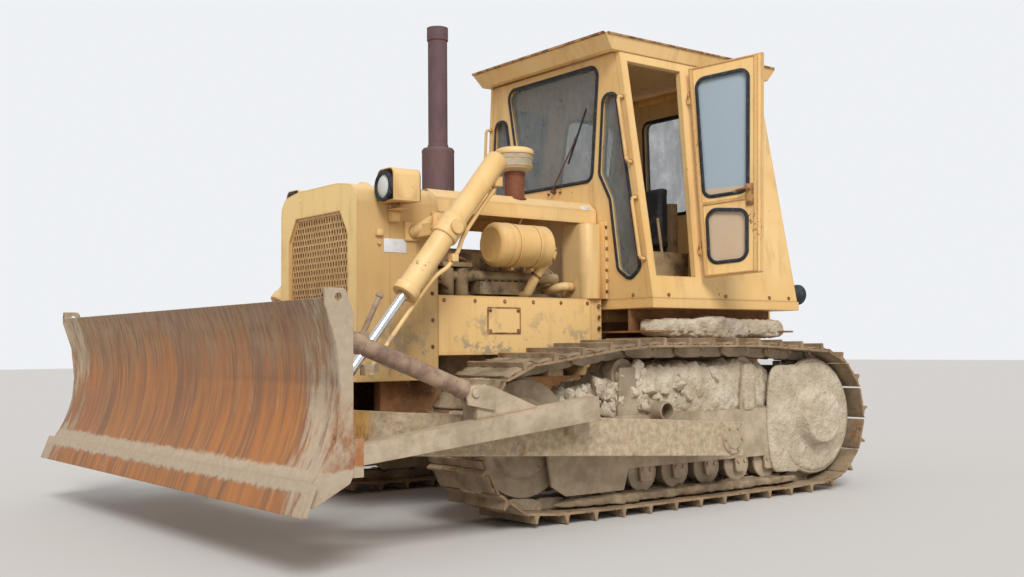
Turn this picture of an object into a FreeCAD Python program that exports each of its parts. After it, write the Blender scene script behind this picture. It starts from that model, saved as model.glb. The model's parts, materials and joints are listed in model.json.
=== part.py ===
"""Bulldozer with a raised straight blade, on tracks, with a closed cab.

X points forward, Y to the left and Z up, in millimetres.
Pieces are modelled about the middle of the tracks, on the ground line, and the
placement of each sub-part then moves it to the middle of the whole machine.
"""
import FreeCAD, Part
import math
import os
import Sketcher
from FreeCAD import Placement, Rotation, Vector

# Driving dimensions, in millimetres and degrees.
SIZES = {
    # reach of the whole machine from the middle of the tracks
    "front_reach": 2872.0,
    "rear_reach": 1810.0,
    # tracks
    "track_gauge": 1880.0,
    "shoe_width": 500.0,
    "shoe_pitch": 203.0,
    "grouser_height": 45.0,
    "shoe_plate": 12.0,
    "plate_to_pin": 10.0,
    "link_height": 60.0,
    "link_gap": 80.0,
    "link_width": 45.0,
    "sprocket_x": -1188.0,
    "sprocket_z": 480.0,
    "sprocket_pins": 408.0,
    "sprocket_width": 60.0,
    "idler_x": 1170.0,
    "idler_z": 455.0,
    "idler_tip": 430.0,
    "roller_radius": 100.0,
    "roller_front_x": 590.0,
    "roller_rear_x": -765.0,
    "carrier_radius": 90.0,
    "carrier_front_x": 300.0,
    "carrier_rear_x": -760.0,
    "carrier_z": 783.0,
    "flange_height": 18.0,
    "flange_width": 18.0,
    "running_gap": 0.3,
    # track frames
    "frame_bottom_z": 340.0,
    "frame_height": 220.0,
    "frame_half_width": 125.0,
    "guard_plate": 16.0,
    "guard_bottom_z": 130.0,
    "hub_radius": 178.0,
    "hub_cover_radius": 370.0,
    "hub_length": 88.0,
    # tractor body
    "case_half_width": 330.0,
    "case_bottom_z": 430.0,
    "case_top_z": 1100.0,
    "case_front_x": -80.0,
    "case_rear_x": -1560.0,
    "rail_width": 70.0,
    "rail_bottom_z": 540.0,
    "rail_height": 220.0,
    "nose_half_width": 450.0,
    "nose_front_x": 1860.0,
    "nose_rear_x": 1330.0,
    "nose_bottom_z": 760.0,
    "nose_top_z": 1866.0,
    "nose_wall": 14.0,
    "nose_round": 110.0,
    "grille_half_width": 345.0,
    "grille_bottom_z": 930.0,
    "grille_top_z": 1705.0,
    "grille_plate": 6.0,
    "hood_half_width": 400.0,
    "hood_edge_z": 1811.0,
    "hood_top_z": 1864.0,
    "hood_rear_x": 70.0,
    "hood_plate": 5.0,
    "hood_skirt": 85.0,
    "panel_bottom_z": 900.0,
    "panel_top_z": 1244.0,
    "panel_rear_x": 170.0,
    "panel_plate": 6.0,
    # rear hitch
    "jaw_half_width": 90.0,
    "jaw_bottom_z": 500.0,
    "jaw_height": 160.0,
    "jaw_plate": 50.0,
    "jaw_depth": 110.0,
    "hitch_pin_inset": 65.0,
    "hitch_pin_radius": 22.0,
    # cab
    "cab_front_x": 39.0,
    "cab_front_top_x": 104.0,
    "cab_rear_x": -1340.0,
    "cab_rear_top_x": -1216.0,
    "cab_bottom_z": 1237.0,
    "cab_top_z": 2790.0,
    "cab_half_width": 868.0,
    "cab_top_half_width": 667.0,
    "cab_wall": 40.0,
    "cab_floor_plate": 60.0,
    "roof_front_x": 248.0,
    "roof_rear_x": -1371.0,
    "roof_half_width": 700.0,
    "roof_height": 92.0,
    "glass": 6.0,
    "door_gap": 10.0,
    "door_plate": 30.0,
    "door_open": 106.0,
    # blade and its push frame
    "pivot_x": -130.0,
    "pivot_z": 400.0,
    "beam_inner_y": 1206.0,
    "beam_width": 128.0,
    "beam_height": 200.0,
    "beam_slope": 3.6,
    "cross_beam_x": 2330.0,
    "cross_beam_width": 150.0,
    "blade_half_width": 1730.0,
    "blade_top_z": 1150.0,
    "blade_edge_z": 272.0,
    "blade_joint_z": 400.0,
    "blade_top_x": 2752.0,
    "blade_hollow_x": 2680.0,
    "blade_joint_x": 2800.0,
    "blade_plate": 16.0,
    "edge_plate": 22.0,
    # lift cylinders
    "cylinder_y": 720.0,
    "trunnion_x": 1437.0,
    "trunnion_z": 1593.0,
    "rod_eye_x": 2220.0,
    "rod_eye_z": 620.0,
    "barrel_radius": 62.5,
    "barrel_wall": 10.0,
    "barrel_above": 547.0,
    "barrel_below": 473.0,
    "rod_radius": 27.0,
    "rod_length": 1268.0,
}


class Size:
    """A number together with the sheet formula that gives it."""

    def __init__(self, value, text):
        self.value = float(value)
        self.text = text

    def __add__(self, other):
        other = size(other)
        return Size(self.value + other.value, f"({self.text} + {other.text})")

    __radd__ = __add__

    def __sub__(self, other):
        other = size(other)
        return Size(self.value - other.value, f"({self.text} - {other.text})")

    def __rsub__(self, other):
        return size(other) - self

    def __mul__(self, other):
        other = size(other)
        return Size(self.value * other.value, f"({self.text} * {other.text})")

    __rmul__ = __mul__

    def __truediv__(self, other):
        other = size(other)
        return Size(self.value / other.value, f"({self.text} / {other.text})")

    def __neg__(self):
        return Size(-self.value, f"(-1 * {self.text})")

    def __float__(self):
        return self.value


def size(value):
    """Return the value as a Size, a plain number being its own formula."""
    if isinstance(value, Size):
        return value
    return Size(value, repr(float(value)))


doc = FreeCAD.newDocument("Bulldozer")
sheet = doc.addObject("Spreadsheet::Sheet", "Sizes")
for row, (alias, number) in enumerate(SIZES.items(), 1):
    sheet.set(f"A{row}", alias)
    sheet.set(f"B{row}", str(number))
    sheet.setAlias(f"B{row}", alias)
doc.recompute()


class Named:
    """The sheet's sizes as attributes."""


dim = Named()
for alias, number in SIZES.items():
    setattr(dim, alias, Size(number, f"Sizes.{alias}"))

sub_parts = {}


def bind(item, name, value):
    """Tie one property of a document object to a size."""
    item.setExpression(name, size(value).text)


def place(item, at, rotation=None):
    """Put an object at a point, each coordinate tied to its size."""
    base = Vector(*[float(size(v)) for v in at])
    item.Placement = Placement(base, rotation or Rotation())
    for axis, value in zip("xyz", at):
        bind(item, f"Placement.Base.{axis}", value)


def box(low, lengths):
    """A block from its lowest corner and its three lengths."""
    item = doc.addObject("Part::Box", "Block")
    for name, value in zip(("Length", "Width", "Height"), lengths):
        bind(item, name, value)
    place(item, low)
    return item


TURN = {"x": Rotation(Vector(0, 1, 0), 90), "y": Rotation(Vector(1, 0, 0), -90), "z": Rotation()}


def cylinder(axis, start, radius, length):
    """A round bar from its start along an axis, or along a direction."""
    item = doc.addObject("Part::Cylinder", "Round")
    bind(item, "Radius", radius)
    bind(item, "Height", length)
    turn = TURN[axis] if axis in TURN else Rotation(Vector(0, 0, 1), Vector(*axis))
    place(item, start, turn)
    return item


def drum(axis, start, radius, length, sides=12):
    """A many-sided bar, for what is round but repeats or lies hidden."""
    item = doc.addObject("Part::Prism", "Drum")
    item.Polygon = sides
    bind(item, "Circumradius", radius)
    bind(item, "Height", length)
    turn = TURN[axis] if axis in TURN else Rotation(Vector(0, 0, 1), Vector(*axis))
    place(item, start, turn)
    return item


def cone(axis, start, radius, end_radius, length):
    """A tapered round bar."""
    item = doc.addObject("Part::Cone", "Taper")
    bind(item, "Radius1", radius)
    bind(item, "Radius2", end_radius)
    bind(item, "Height", length)
    turn = TURN[axis] if axis in TURN else Rotation(Vector(0, 0, 1), Vector(*axis))
    place(item, start, turn)
    return item


def bar(start, end, radius, sides=8):
    """A slim bar between two points given as plain numbers."""
    run = Vector(*end) - Vector(*start)
    return drum(tuple(run), start, radius, run.Length, sides)


def fuse(*pieces):
    """Join pieces into one solid."""
    item = doc.addObject("Part::MultiFuse", "Joined")
    item.Shapes = list(pieces)
    item.Refine = True
    return item


def group(*pieces):
    """Hold pieces that don't touch together as one sub-part."""
    item = doc.addObject("Part::Compound", "Group")
    item.Links = list(pieces)
    return item


def cut(piece, *tools):
    """Take tools away from a piece."""
    item = doc.addObject("Part::Cut", "Cut")
    item.Base = piece
    item.Tool = tools[0] if len(tools) == 1 else fuse(*tools)
    return item


def mirror(piece):
    """The same piece on the other side of the machine."""
    item = doc.addObject("Part::Mirroring", "Mirror")
    item.Source = piece
    item.Normal = Vector(0, 1, 0)
    return item


def pair(piece):
    """A piece and its mirror image."""
    return group(piece, mirror(piece))


def solid(shape):
    """An object whose shape is worked out from the sheet's sizes."""
    item = doc.addObject("Part::Feature", "Form")
    item.Shape = shape
    return item


def corner_arc(before, corner, after, radius):
    """Tangent points and centre of the arc that rounds a corner."""
    to_before = (before - corner).normalize()
    to_after = (after - corner).normalize()
    half = to_before.getAngle(to_after) / 2
    reach = radius / math.tan(half)
    middle = (to_before + to_after).normalize() * (radius / math.sin(half))
    return corner + to_before * reach, corner + to_after * reach, corner + middle


def draw(sketch, outline):
    """Draw a closed outline of corners (a, b) or, when rounded, (a, b, radius)."""
    points = [Vector(float(size(c[0])), float(size(c[1])), 0) for c in outline]
    count = len(points)
    ends = []
    for i, corner in enumerate(outline):
        if len(corner) == 3:
            ends.append(corner_arc(points[i - 1], points[i], points[(i + 1) % count], float(corner[2])))
        else:
            ends.append((points[i], points[i], None))
    lines = []
    for i in range(count):
        edge = Part.LineSegment(ends[i][1], ends[(i + 1) % count][0])
        lines.append(sketch.addGeometry(edge, False))
    for i, corner in enumerate(outline):
        start, end, centre = ends[i]
        before, after = lines[i - 1], lines[i]
        if centre is None:
            sketch.addConstraint(Sketcher.Constraint("Coincident", before, 2, after, 1))
            held, spot = after, 1
        else:
            inward = (points[i] - centre).normalize()
            middle = centre + inward * float(corner[2])
            arc = sketch.addGeometry(Part.Arc(start, middle, end), False)
            turn = (start - centre).cross(end - centre).z
            first, last = (1, 2) if turn > 0 else (2, 1)
            sketch.addConstraint(Sketcher.Constraint("Tangent", before, 2, arc, first))
            sketch.addConstraint(Sketcher.Constraint("Tangent", after, 1, arc, last))
            number = sketch.addConstraint(Sketcher.Constraint("Radius", arc, float(corner[2])))
            sketch.setExpression(f"Constraints[{number}]", size(corner[2]).text)
            held = sketch.addGeometry(Part.Point(points[i]), True)
            spot = 1
            sketch.addConstraint(Sketcher.Constraint("PointOnObject", held, 1, before))
            sketch.addConstraint(Sketcher.Constraint("PointOnObject", held, 1, after))
        for kind, value in (("DistanceX", corner[0]), ("DistanceY", corner[1])):
            value = size(value)
            number = sketch.addConstraint(Sketcher.Constraint(kind, -1, 1, held, spot, value.value))
            sketch.setExpression(f"Constraints[{number}]", value.text)


def pad(plane, outline, start, depth, holes=()):
    """A plate drawn on a plane of its body and padded along the plane's axis.

    XZ plates run along +Y, XY plates along +Z and YZ plates along +X, from start.
    """
    body = doc.addObject("PartDesign::Body", "Plate")
    base = [f for f in body.Origin.OriginFeatures if f.Role == plane + "_Plane"][0]
    sketch = body.newObject("Sketcher::SketchObject", "Outline")
    sketch.AttachmentSupport = (base, [""])
    sketch.MapMode = "FlatFace"
    backward = plane == "XZ"
    offset = -size(start) if backward else size(start)
    sketch.AttachmentOffset = Placement(Vector(0, 0, offset.value), Rotation())
    sketch.setExpression("AttachmentOffset.Base.z", offset.text)
    for ring in (outline, *holes):
        draw(sketch, ring)
    feature = body.newObject("PartDesign::Pad", "Pad")
    feature.Profile = sketch
    feature.Reversed = backward
    bind(feature, "Length", depth)
    return body


def rectangle(low_a, low_b, high_a, high_b, radius=None):
    """Corners of an upright rectangle, rounded if a radius is given."""
    corners = [(low_a, low_b), (high_a, low_b), (high_a, high_b), (low_a, high_b)]
    return corners if radius is None else [(*c, radius) for c in corners]


machine_shift = (dim.rear_reach - dim.front_reach) / 2


def sub_part(label, item):
    """Name a finished piece and move it into the machine's frame."""
    item.Label = label
    base = item.Placement.Base
    bound = dict(item.ExpressionEngine).get("Placement.Base.x")
    start = Size(base.x, bound) if bound else size(base.x)
    item.Placement.Base = Vector(base.x + machine_shift.value, base.y, base.z)
    bind(item, "Placement.Base.x", start + machine_shift)
    sub_parts[label] = item


# Tracks: a closed path of the link pins round the rollers, idler and sprocket.

pin_depth = dim.link_height - dim.plate_to_pin
tip_depth = dim.grouser_height + dim.shoe_plate + dim.plate_to_pin
rail_z = dim.grouser_height + dim.shoe_plate + dim.link_height
roller_z = rail_z + dim.roller_radius
track_y = dim.track_gauge / 2
# the links lie flat between their pins, so the pins stand a little outside the idler's rim
idler_pins = math.hypot(float(dim.idler_tip - tip_depth), float(dim.shoe_pitch) / 2)


def pin_path():
    """Straight runs and arcs of the pin line: (kind, length, data) in order."""
    wheels = [
        (dim.roller_rear_x, roller_z, dim.roller_radius + pin_depth),
        (dim.roller_front_x, roller_z, dim.roller_radius + pin_depth),
        (dim.idler_x, dim.idler_z, idler_pins),
        (dim.carrier_front_x, dim.carrier_z, dim.carrier_radius + pin_depth),
        (dim.carrier_rear_x, dim.carrier_z, dim.carrier_radius + pin_depth),
        (dim.sprocket_x, dim.sprocket_z, dim.sprocket_pins),
    ]
    wheels = [(Vector(float(x), 0, float(z)), float(r)) for x, z, r in wheels]
    count = len(wheels)
    normals = []
    for i, (centre, radius) in enumerate(wheels):
        next_centre, next_radius = wheels[(i + 1) % count]
        run = next_centre - centre
        along = Vector(run).normalize()
        outward = Vector(along.z, 0, -along.x)
        lean = math.asin((radius - next_radius) / run.Length)
        normals.append(outward * math.cos(lean) + along * math.sin(lean))
    path = []
    for i, (centre, radius) in enumerate(wheels):
        first = math.atan2(normals[i - 1].z, normals[i - 1].x)
        last = math.atan2(normals[i].z, normals[i].x)
        sweep = (last - first) % (2 * math.pi)
        path.append(("arc", sweep * radius, (centre, radius, first)))
        next_centre, next_radius = wheels[(i + 1) % count]
        start = centre + normals[i] * radius
        end = next_centre + normals[i] * next_radius
        path.append(("run", (end - start).Length, (start, end)))
    return path


def path_point(path, distance):
    """Point at a distance along the pin line."""
    for kind, length, data in path:
        if distance <= length:
            break
        distance -= length
    if kind == "arc":
        centre, radius, first = data
        angle = first + distance / radius
        return centre + Vector(math.cos(angle), 0, math.sin(angle)) * radius
    start, end = data
    return start + (end - start) * (distance / length)


def track_pins():
    """Pin centres, evenly spaced by as near the pitch as the loop allows."""
    path = pin_path()
    whole = sum(length for _, length, _ in path)
    count = round(whole / float(dim.shoe_pitch))
    return [path_point(path, whole * i / count) for i in range(count)]


def prism_along_y(rings, width):
    """A solid between y = -width/2 and width/2 from an outline and its hole."""
    faces = []
    for ring in rings:
        ring = [point + Vector(0, -width / 2, 0) for point in ring]
        faces.append(Part.Face(Part.makePolygon(ring + ring[:1])))
    face = faces[0] if len(faces) == 1 else faces[0].cut(faces[1])
    return face.extrude(Vector(0, width, 0))


def offset_ring(pins, depth):
    """The loop of pins moved outward, corner by corner."""
    ring = []
    for i, pin in enumerate(pins):
        along = (pins[(i + 1) % len(pins)] - pins[i - 1]).normalize()
        ring.append(pin + Vector(along.z, 0, -along.x) * depth)
    return ring


def shoe_ring(pins):
    """Outer outline of the shoes: a plate and one grouser bar on each link."""
    inner = float(dim.plate_to_pin)
    outer = inner + float(dim.shoe_plate)
    tip = outer + float(dim.grouser_height)
    # places along the shoe as a share of the pitch, and heights over the pin line
    profile = [(0.03, inner + 4), (0.03, outer), (0.62, outer), (0.64, tip), (0.70, tip), (0.73, outer),
               (0.97, outer), (0.97, inner + 4)]
    ring = []
    for i, pin in enumerate(pins):
        run = pins[(i + 1) % len(pins)] - pin
        along = Vector(run).normalize()
        outward = Vector(along.z, 0, -along.x)
        ring += [pin + run * share + outward * height for share, height in profile]
    return ring


def track_shape():
    """One fixed loop of shoes with its two rows of links inside."""
    pins = track_pins()
    plate_inner = offset_ring(pins, float(dim.plate_to_pin))
    rail_inner = offset_ring(pins, -float(pin_depth))
    loop = prism_along_y([shoe_ring(pins), plate_inner], float(dim.shoe_width))
    rail = prism_along_y([offset_ring(pins, float(dim.plate_to_pin) + 2), rail_inner], float(dim.link_width))
    reach = float(dim.link_gap + dim.link_width) / 2
    rails = [rail.translated(Vector(0, side * reach, 0)) for side in (-1, 1)]
    return loop.fuse(rails).removeSplitter()


def rail_distance(x, z):
    """How far a wheel's centre lies from the links' running face."""
    ring = offset_ring(track_pins(), -float(pin_depth))
    centre = Vector(float(size(x)), 0, float(size(z)))
    nearest = []
    for i, start in enumerate(ring):
        run = ring[(i + 1) % len(ring)] - start
        share = max(0, min(1, (centre - start).dot(run) / run.dot(run)))
        nearest.append((start + run * share - centre).Length)
    return min(nearest)


track = track_shape()
for label, side in (("track_left", 1), ("track_right", -1)):
    item = solid(track)
    place(item, (0, track_y * side, 0))
    sub_part(label, item)


def toothed_disc(teeth, root, tip, width):
    """A sprocket ring with straight-sided teeth."""
    ring = []
    step = 2 * math.pi / teeth
    for i in range(teeth):
        for share, radius in ((0.0, root), (0.30, root), (0.42, tip), (0.58, tip), (0.70, root)):
            if share == 0.0:
                continue
            angle = (i + share) * step
            ring.append(Vector(math.cos(angle) * radius, 0, math.sin(angle) * radius))
    return prism_along_y([ring], width)


def sprocket(side):
    """Toothed wheel between the two rows of links, with its hub drum."""
    pin_radius = float(dim.sprocket_pins)
    disc = solid(toothed_disc(25, pin_radius - 40, pin_radius - 12, float(dim.sprocket_width)))
    place(disc, (dim.sprocket_x, track_y * side, dim.sprocket_z))
    hub = drum("y", (dim.sprocket_x, track_y * side - 60, dim.sprocket_z), 190, 120, 16)
    return fuse(disc, hub)


sub_part("sprockets", group(sprocket(1), sprocket(-1)))


def idler(side):
    """Front wheel with a tread for each row of links and a flange between them."""
    tread = size(rail_distance(dim.idler_x, dim.idler_z)) - dim.running_gap
    half = dim.link_gap / 2 + dim.link_width
    centre = track_y * side
    rim = drum("y", (dim.idler_x, centre - half, dim.idler_z), tread, half * 2, 36)
    flange = drum("y", (dim.idler_x, centre - dim.link_gap / 2 + 3, dim.idler_z),
                  tread + dim.flange_height, dim.link_gap - 6, 36)
    hub = drum("y", (dim.idler_x, centre - half - 10, dim.idler_z), 85, half * 2 + 20, 16)
    axle = drum("y", (dim.idler_x, centre - dim.frame_half_width, dim.idler_z), 40, dim.frame_half_width * 2)
    return fuse(rim, flange, hub, axle)


sub_part("idlers", group(idler(1), idler(-1)))


def roller(x, z, side):
    """A roller under both rows of links, on its axle."""
    radius = size(rail_distance(x, z)) - dim.running_gap
    half = dim.link_gap / 2 + dim.link_width
    centre = track_y * side
    axle = drum("y", (x, centre - dim.frame_half_width, z), 40, dim.frame_half_width * 2, 8)
    return fuse(axle, drum("y", (x, centre - half, z), radius, half * 2))


ROLLER_COUNT = 6
rollers = []
for side in (1, -1):
    for i in range(ROLLER_COUNT):
        x = dim.roller_front_x + (dim.roller_rear_x - dim.roller_front_x) * i / (ROLLER_COUNT - 1)
        rollers.append(roller(x, roller_z, side))
    for x in (dim.carrier_front_x, dim.carrier_rear_x):
        rollers.append(roller(x, dim.carrier_z, side))
sub_part("rollers", group(*rollers))


# Track frames: a box beam, a fork for the idler and plates that carry the rollers.

def track_frame(side):
    """Frame between the runs of one track, with the push frame's pivot outside."""
    centre = track_y * side
    half = dim.frame_half_width
    beam = box((-760, centre - half, dim.frame_bottom_z), (1560, half * 2, dim.frame_height))
    pieces = [beam]
    for start in (-half - dim.guard_plate, half):
        low = centre + start
        pieces.append(pad("XZ", [(-850, dim.guard_bottom_z + 40), (-820, dim.guard_bottom_z),
                                 (960, dim.guard_bottom_z), (1000, dim.guard_bottom_z + 40), (1000, 360),
                                 (1330, 400), (1330, 510), (800, dim.frame_bottom_z + dim.frame_height - 10),
                                 (-850, dim.frame_bottom_z + dim.frame_height - 10)], low, dim.guard_plate))
        for x in (dim.carrier_front_x, dim.carrier_rear_x):
            pieces.append(pad("XZ", [(x - 70, 500), (x + 70, 500), (x + 40, dim.carrier_z + 40),
                                     (x - 40, dim.carrier_z + 40)], low, dim.guard_plate))
    outer = centre + (half + dim.guard_plate) * side
    reach = dim.beam_inner_y + dim.beam_width - 5 - dim.track_gauge / 2 - half - dim.guard_plate
    pivot_start = outer if side > 0 else outer - reach
    pieces.append(cylinder("y", (dim.pivot_x, pivot_start, dim.pivot_z), 55, reach))
    collar_start = outer if side > 0 else outer - 90
    pieces.append(cylinder("y", (dim.pivot_x, collar_start, dim.pivot_z), 95, 90))
    stub_start = outer if side > 0 else outer - 110
    pieces.append(cylinder("y", (190, stub_start, 560 - 60), 52, 110))
    return fuse(*pieces)


sub_part("track_frame_left", track_frame(1))
sub_part("track_frame_right", track_frame(-1))


def final_drive():
    """Gear case from the main case out to the sprocket, and its outer cover."""
    inner = drum("y", (dim.sprocket_x, dim.case_half_width, dim.sprocket_z), 330,
                 track_y - 60 - dim.case_half_width, 28)
    guard_y = track_y + dim.frame_half_width + dim.guard_plate
    outer = drum("y", (dim.sprocket_x, track_y + 60, dim.sprocket_z), 150,
                 dim.frame_half_width + dim.guard_plate - 60)
    cover = cylinder("y", (dim.sprocket_x, guard_y, dim.sprocket_z), dim.hub_cover_radius, dim.guard_plate)
    hub = cone("y", (dim.sprocket_x, guard_y + dim.guard_plate, dim.sprocket_z), dim.hub_radius,
               dim.hub_radius - 15, dim.hub_length)
    return group(inner, fuse(outer, cover, hub))


sub_part("final_drives", pair(final_drive()))


# Tractor body.

def main_case():
    """Gear case between the tracks with the two frame rails that run forward."""
    case = pad("XZ", [(dim.case_rear_x, 480, 30), (-1450, dim.case_bottom_z, 30),
                      (dim.case_front_x, dim.case_bottom_z), (dim.case_front_x, dim.case_top_z),
                      (dim.case_rear_x, dim.case_top_z, 80)],
               -dim.case_half_width, dim.case_half_width * 2)
    rails = [
        box((dim.case_front_x, low, dim.rail_bottom_z),
            (1640 - dim.case_front_x, dim.rail_width, dim.rail_height))
        for low in (dim.case_half_width - dim.rail_width, -dim.case_half_width)
    ]
    inner_plate_y = track_y - dim.frame_half_width - dim.guard_plate
    tie = box((-60, -inner_plate_y, 450), (120, inner_plate_y * 2, 100))
    return fuse(case, *rails, tie)


sub_part("main_case", main_case())

guard = pad("XZ", [(62, dim.rail_bottom_z), (62, 500), (1640, 500), (dim.nose_front_x + 10, 600),
                   (dim.nose_front_x + 10, 760), (dim.nose_front_x - 10, 760), (dim.nose_front_x - 10, 610),
                   (1630, 516), (82, 516), (82, dim.rail_bottom_z)],
            -dim.case_half_width - 20, dim.case_half_width * 2 + 40)
sub_part("belly_guard", guard)


def nose_outline(shrink):
    """Front view of the nose: upright sides and a crowned top."""
    half = dim.nose_half_width - shrink
    top = dim.nose_top_z - shrink
    return [(-half, dim.nose_bottom_z + shrink), (half, dim.nose_bottom_z + shrink),
            (half, top - 30, dim.nose_round), (half / 2, top, 300), (-half / 2, top, 300),
            (-half, top - 30, dim.nose_round)]


def nose():
    """Radiator guard: a shell open at the rear with the grille opening in front."""
    depth = dim.nose_front_x - dim.nose_rear_x
    outer = pad("YZ", nose_outline(0), dim.nose_rear_x, depth)
    inner = pad("YZ", nose_outline(dim.nose_wall), dim.nose_rear_x - 10, depth - dim.nose_wall + 10)
    half = dim.grille_half_width
    top = dim.grille_top_z
    window = pad("YZ", [(-half, dim.grille_bottom_z, 20), (half, dim.grille_bottom_z, 20), (half, top - 130),
                        (half - 85, top), (85 - half, top), (-half, top - 130)],
                 dim.nose_front_x - 60, 120)
    return cut(outer, inner, window)


sub_part("nose", nose())

grille = pad("YZ", rectangle(-dim.grille_half_width - 25, dim.grille_bottom_z - 25,
                             dim.grille_half_width + 25, dim.grille_top_z + 25),
             dim.nose_front_x - dim.nose_wall - dim.grille_plate, dim.grille_plate)
sub_part("grille", grille)

radiator = box((1640, -380, dim.nose_bottom_z + dim.nose_wall), (120, 760, 940))
sub_part("radiator", radiator)


def hood():
    """Folded plate over the engine, with a skirt down each side."""
    half = dim.hood_half_width
    plate = dim.hood_plate
    edge = dim.hood_edge_z
    top = dim.hood_top_z
    outline = [(-half, edge - dim.hood_skirt), (-half, edge), (-half + 60, top), (half - 60, top), (half, edge),
               (half, edge - dim.hood_skirt), (half - plate, edge - dim.hood_skirt), (half - plate, edge - 2),
               (half - 62, top - plate), (-half + 62, top - plate), (-half + plate, edge - 2),
               (-half + plate, edge - dim.hood_skirt)]
    return pad("YZ", outline, dim.hood_rear_x, dim.nose_rear_x - dim.hood_rear_x)


sub_part("hood", hood())


def engine():
    """Engine block with its head and covers."""
    floor_z = dim.rail_bottom_z + dim.rail_height
    block = box((230, -230, floor_z), (1080, 460, 520))
    head = box((280, -190, floor_z + 520), (980, 380, 160))
    cover = pad("YZ", [(-120, floor_z + 680), (120, floor_z + 680), (120, floor_z + 780, 40),
                       (-120, floor_z + 780, 40)], 330, 880)
    feet = box((300, -dim.case_half_width, floor_z), (120, dim.case_half_width * 2, 60))
    shaft = drum("x", (1300, 0, fan_z), 30, fan_x - 20 - dim.running_gap - 1300)
    return fuse(block, head, cover, feet, shaft)


fan_x = 1480
fan_z = 1200
sub_part("engine", engine())


def fan():
    """Six blades on a hub, turning behind the radiator."""
    pieces = [drum("x", (fan_x - 20, 0, fan_z), 80, 40, 24)]
    for i in range(6):
        blade = doc.addObject("Part::Box", "Blade")
        blade.Length = 8
        blade.Width = 90
        blade.Height = 280
        turn = Rotation(Vector(1, 0, 0), 60 * i)
        blade.Placement = Placement(Vector(fan_x, 0, fan_z) + turn.multVec(Vector(-4, -45, 60)), turn)
        pieces.append(blade)
    return fuse(*pieces)


sub_part("fan", fan())


def side_panel():
    """Lower engine side plate with its hatch."""
    y = dim.nose_half_width - dim.panel_plate
    plate = pad("XZ", [(dim.panel_rear_x, dim.panel_bottom_z), (dim.nose_rear_x, dim.panel_bottom_z),
                       (dim.nose_rear_x, dim.panel_top_z), (dim.panel_rear_x, dim.panel_top_z)], y,
                dim.panel_plate)
    ledge = box((dim.panel_rear_x, dim.case_half_width - dim.rail_width, dim.panel_bottom_z),
                (dim.nose_rear_x - dim.panel_rear_x, y - dim.case_half_width + dim.rail_width, 8))
    hatch = pad("XZ", rectangle(738, 1023, 983, 1179, 12), y + dim.panel_plate, 4)
    web = box((700, dim.case_half_width - dim.rail_width, dim.rail_bottom_z + dim.rail_height),
              (60, dim.rail_width, dim.panel_bottom_z - dim.rail_bottom_z - dim.rail_height))
    return fuse(plate, ledge, hatch, web)


sub_part("side_panels", pair(side_panel()))


def air_cleaner():
    """Drum along the engine's left side, with a domed front and its brackets."""
    drum = cylinder("x", (495, 450, 1550), 128, 440)
    front = cone("x", (935, 450, 1550), 128, 110, 23)
    rear = cone("x", (470, 450, 1550), 100, 128, 25)
    bracket = box((640, 120, dim.rail_bottom_z + dim.rail_height + 680), (60, 260, 50))
    return fuse(drum, front, rear, bracket)


def air_intake():
    """Bowl over a rusty pipe that stands on the hood."""
    bowl_z = 2018
    pipe = drum("z", (580, 300, dim.hood_top_z), 62, bowl_z - dim.hood_top_z, 24)
    bowl = drum("z", (580, 300, bowl_z), 112, 118, 32)
    lid = cone("z", (580, 300, bowl_z + 118), 118, 60, 44)
    return fuse(pipe, bowl, lid)


sub_part("air_cleaner", group(air_cleaner(), air_intake()))


def exhaust():
    """Muffler and stack with a cap."""
    muffler = cylinder("z", (1020, 0, dim.hood_top_z), 100, 310)
    pipe = cylinder("z", (1020, 0, dim.hood_top_z + 310), 60, 2870 - float(dim.hood_top_z) - 310)
    cap = cylinder("z", (1020, 0, 2870), 66, 60)
    return fuse(muffler, pipe, cap)


sub_part("exhaust", exhaust())


def hydraulic_tank():
    """Rounded upright tank in front of the cab, with its filler cap."""
    tank = pad("XY", rectangle(68, 200, 226, 470, 60), 1244, 476)
    shelf_z = dim.rail_bottom_z + dim.rail_height
    shelf = box((72, 200, shelf_z), (94, 240, 1244 - shelf_z))
    cap = drum("z", (150, 335, 1720), 40, 40)
    return fuse(tank, shelf, cap)


sub_part("hydraulic_tank", hydraulic_tank())


# Cab: walls as thick as their posts, split where the real panels meet.

cab_height = dim.cab_top_z - dim.cab_bottom_z
side_lean = math.degrees(math.atan(float((dim.cab_half_width - dim.cab_top_half_width) / cab_height)))
slope = 1 / math.cos(math.radians(side_lean))
wall_across = dim.cab_wall * slope


def front_at(height):
    """Front edge of the cab at a height over its bottom."""
    return dim.cab_front_x + (dim.cab_front_top_x - dim.cab_front_x) * height / cab_height


def rear_at(height):
    """Rear edge of the cab at a height over its bottom."""
    return dim.cab_rear_x + (dim.cab_rear_top_x - dim.cab_rear_x) * height / cab_height


def half_at(height):
    """Outer half width of the cab at a height over its bottom."""
    return dim.cab_half_width - (dim.cab_half_width - dim.cab_top_half_width) * height / cab_height


DOOR_BOTTOM = 140
DOOR_TOP = 1495
POST = 60


def seated(wall):
    """Trim a leaning wall's foot flat on the cab's floor."""
    below = box((dim.cab_rear_x - 100, -dim.cab_half_width - 100, dim.cab_bottom_z - 50),
                (dim.cab_front_x - dim.cab_rear_x + 300, dim.cab_half_width * 2 + 200, 50))
    return cut(wall, below)


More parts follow.
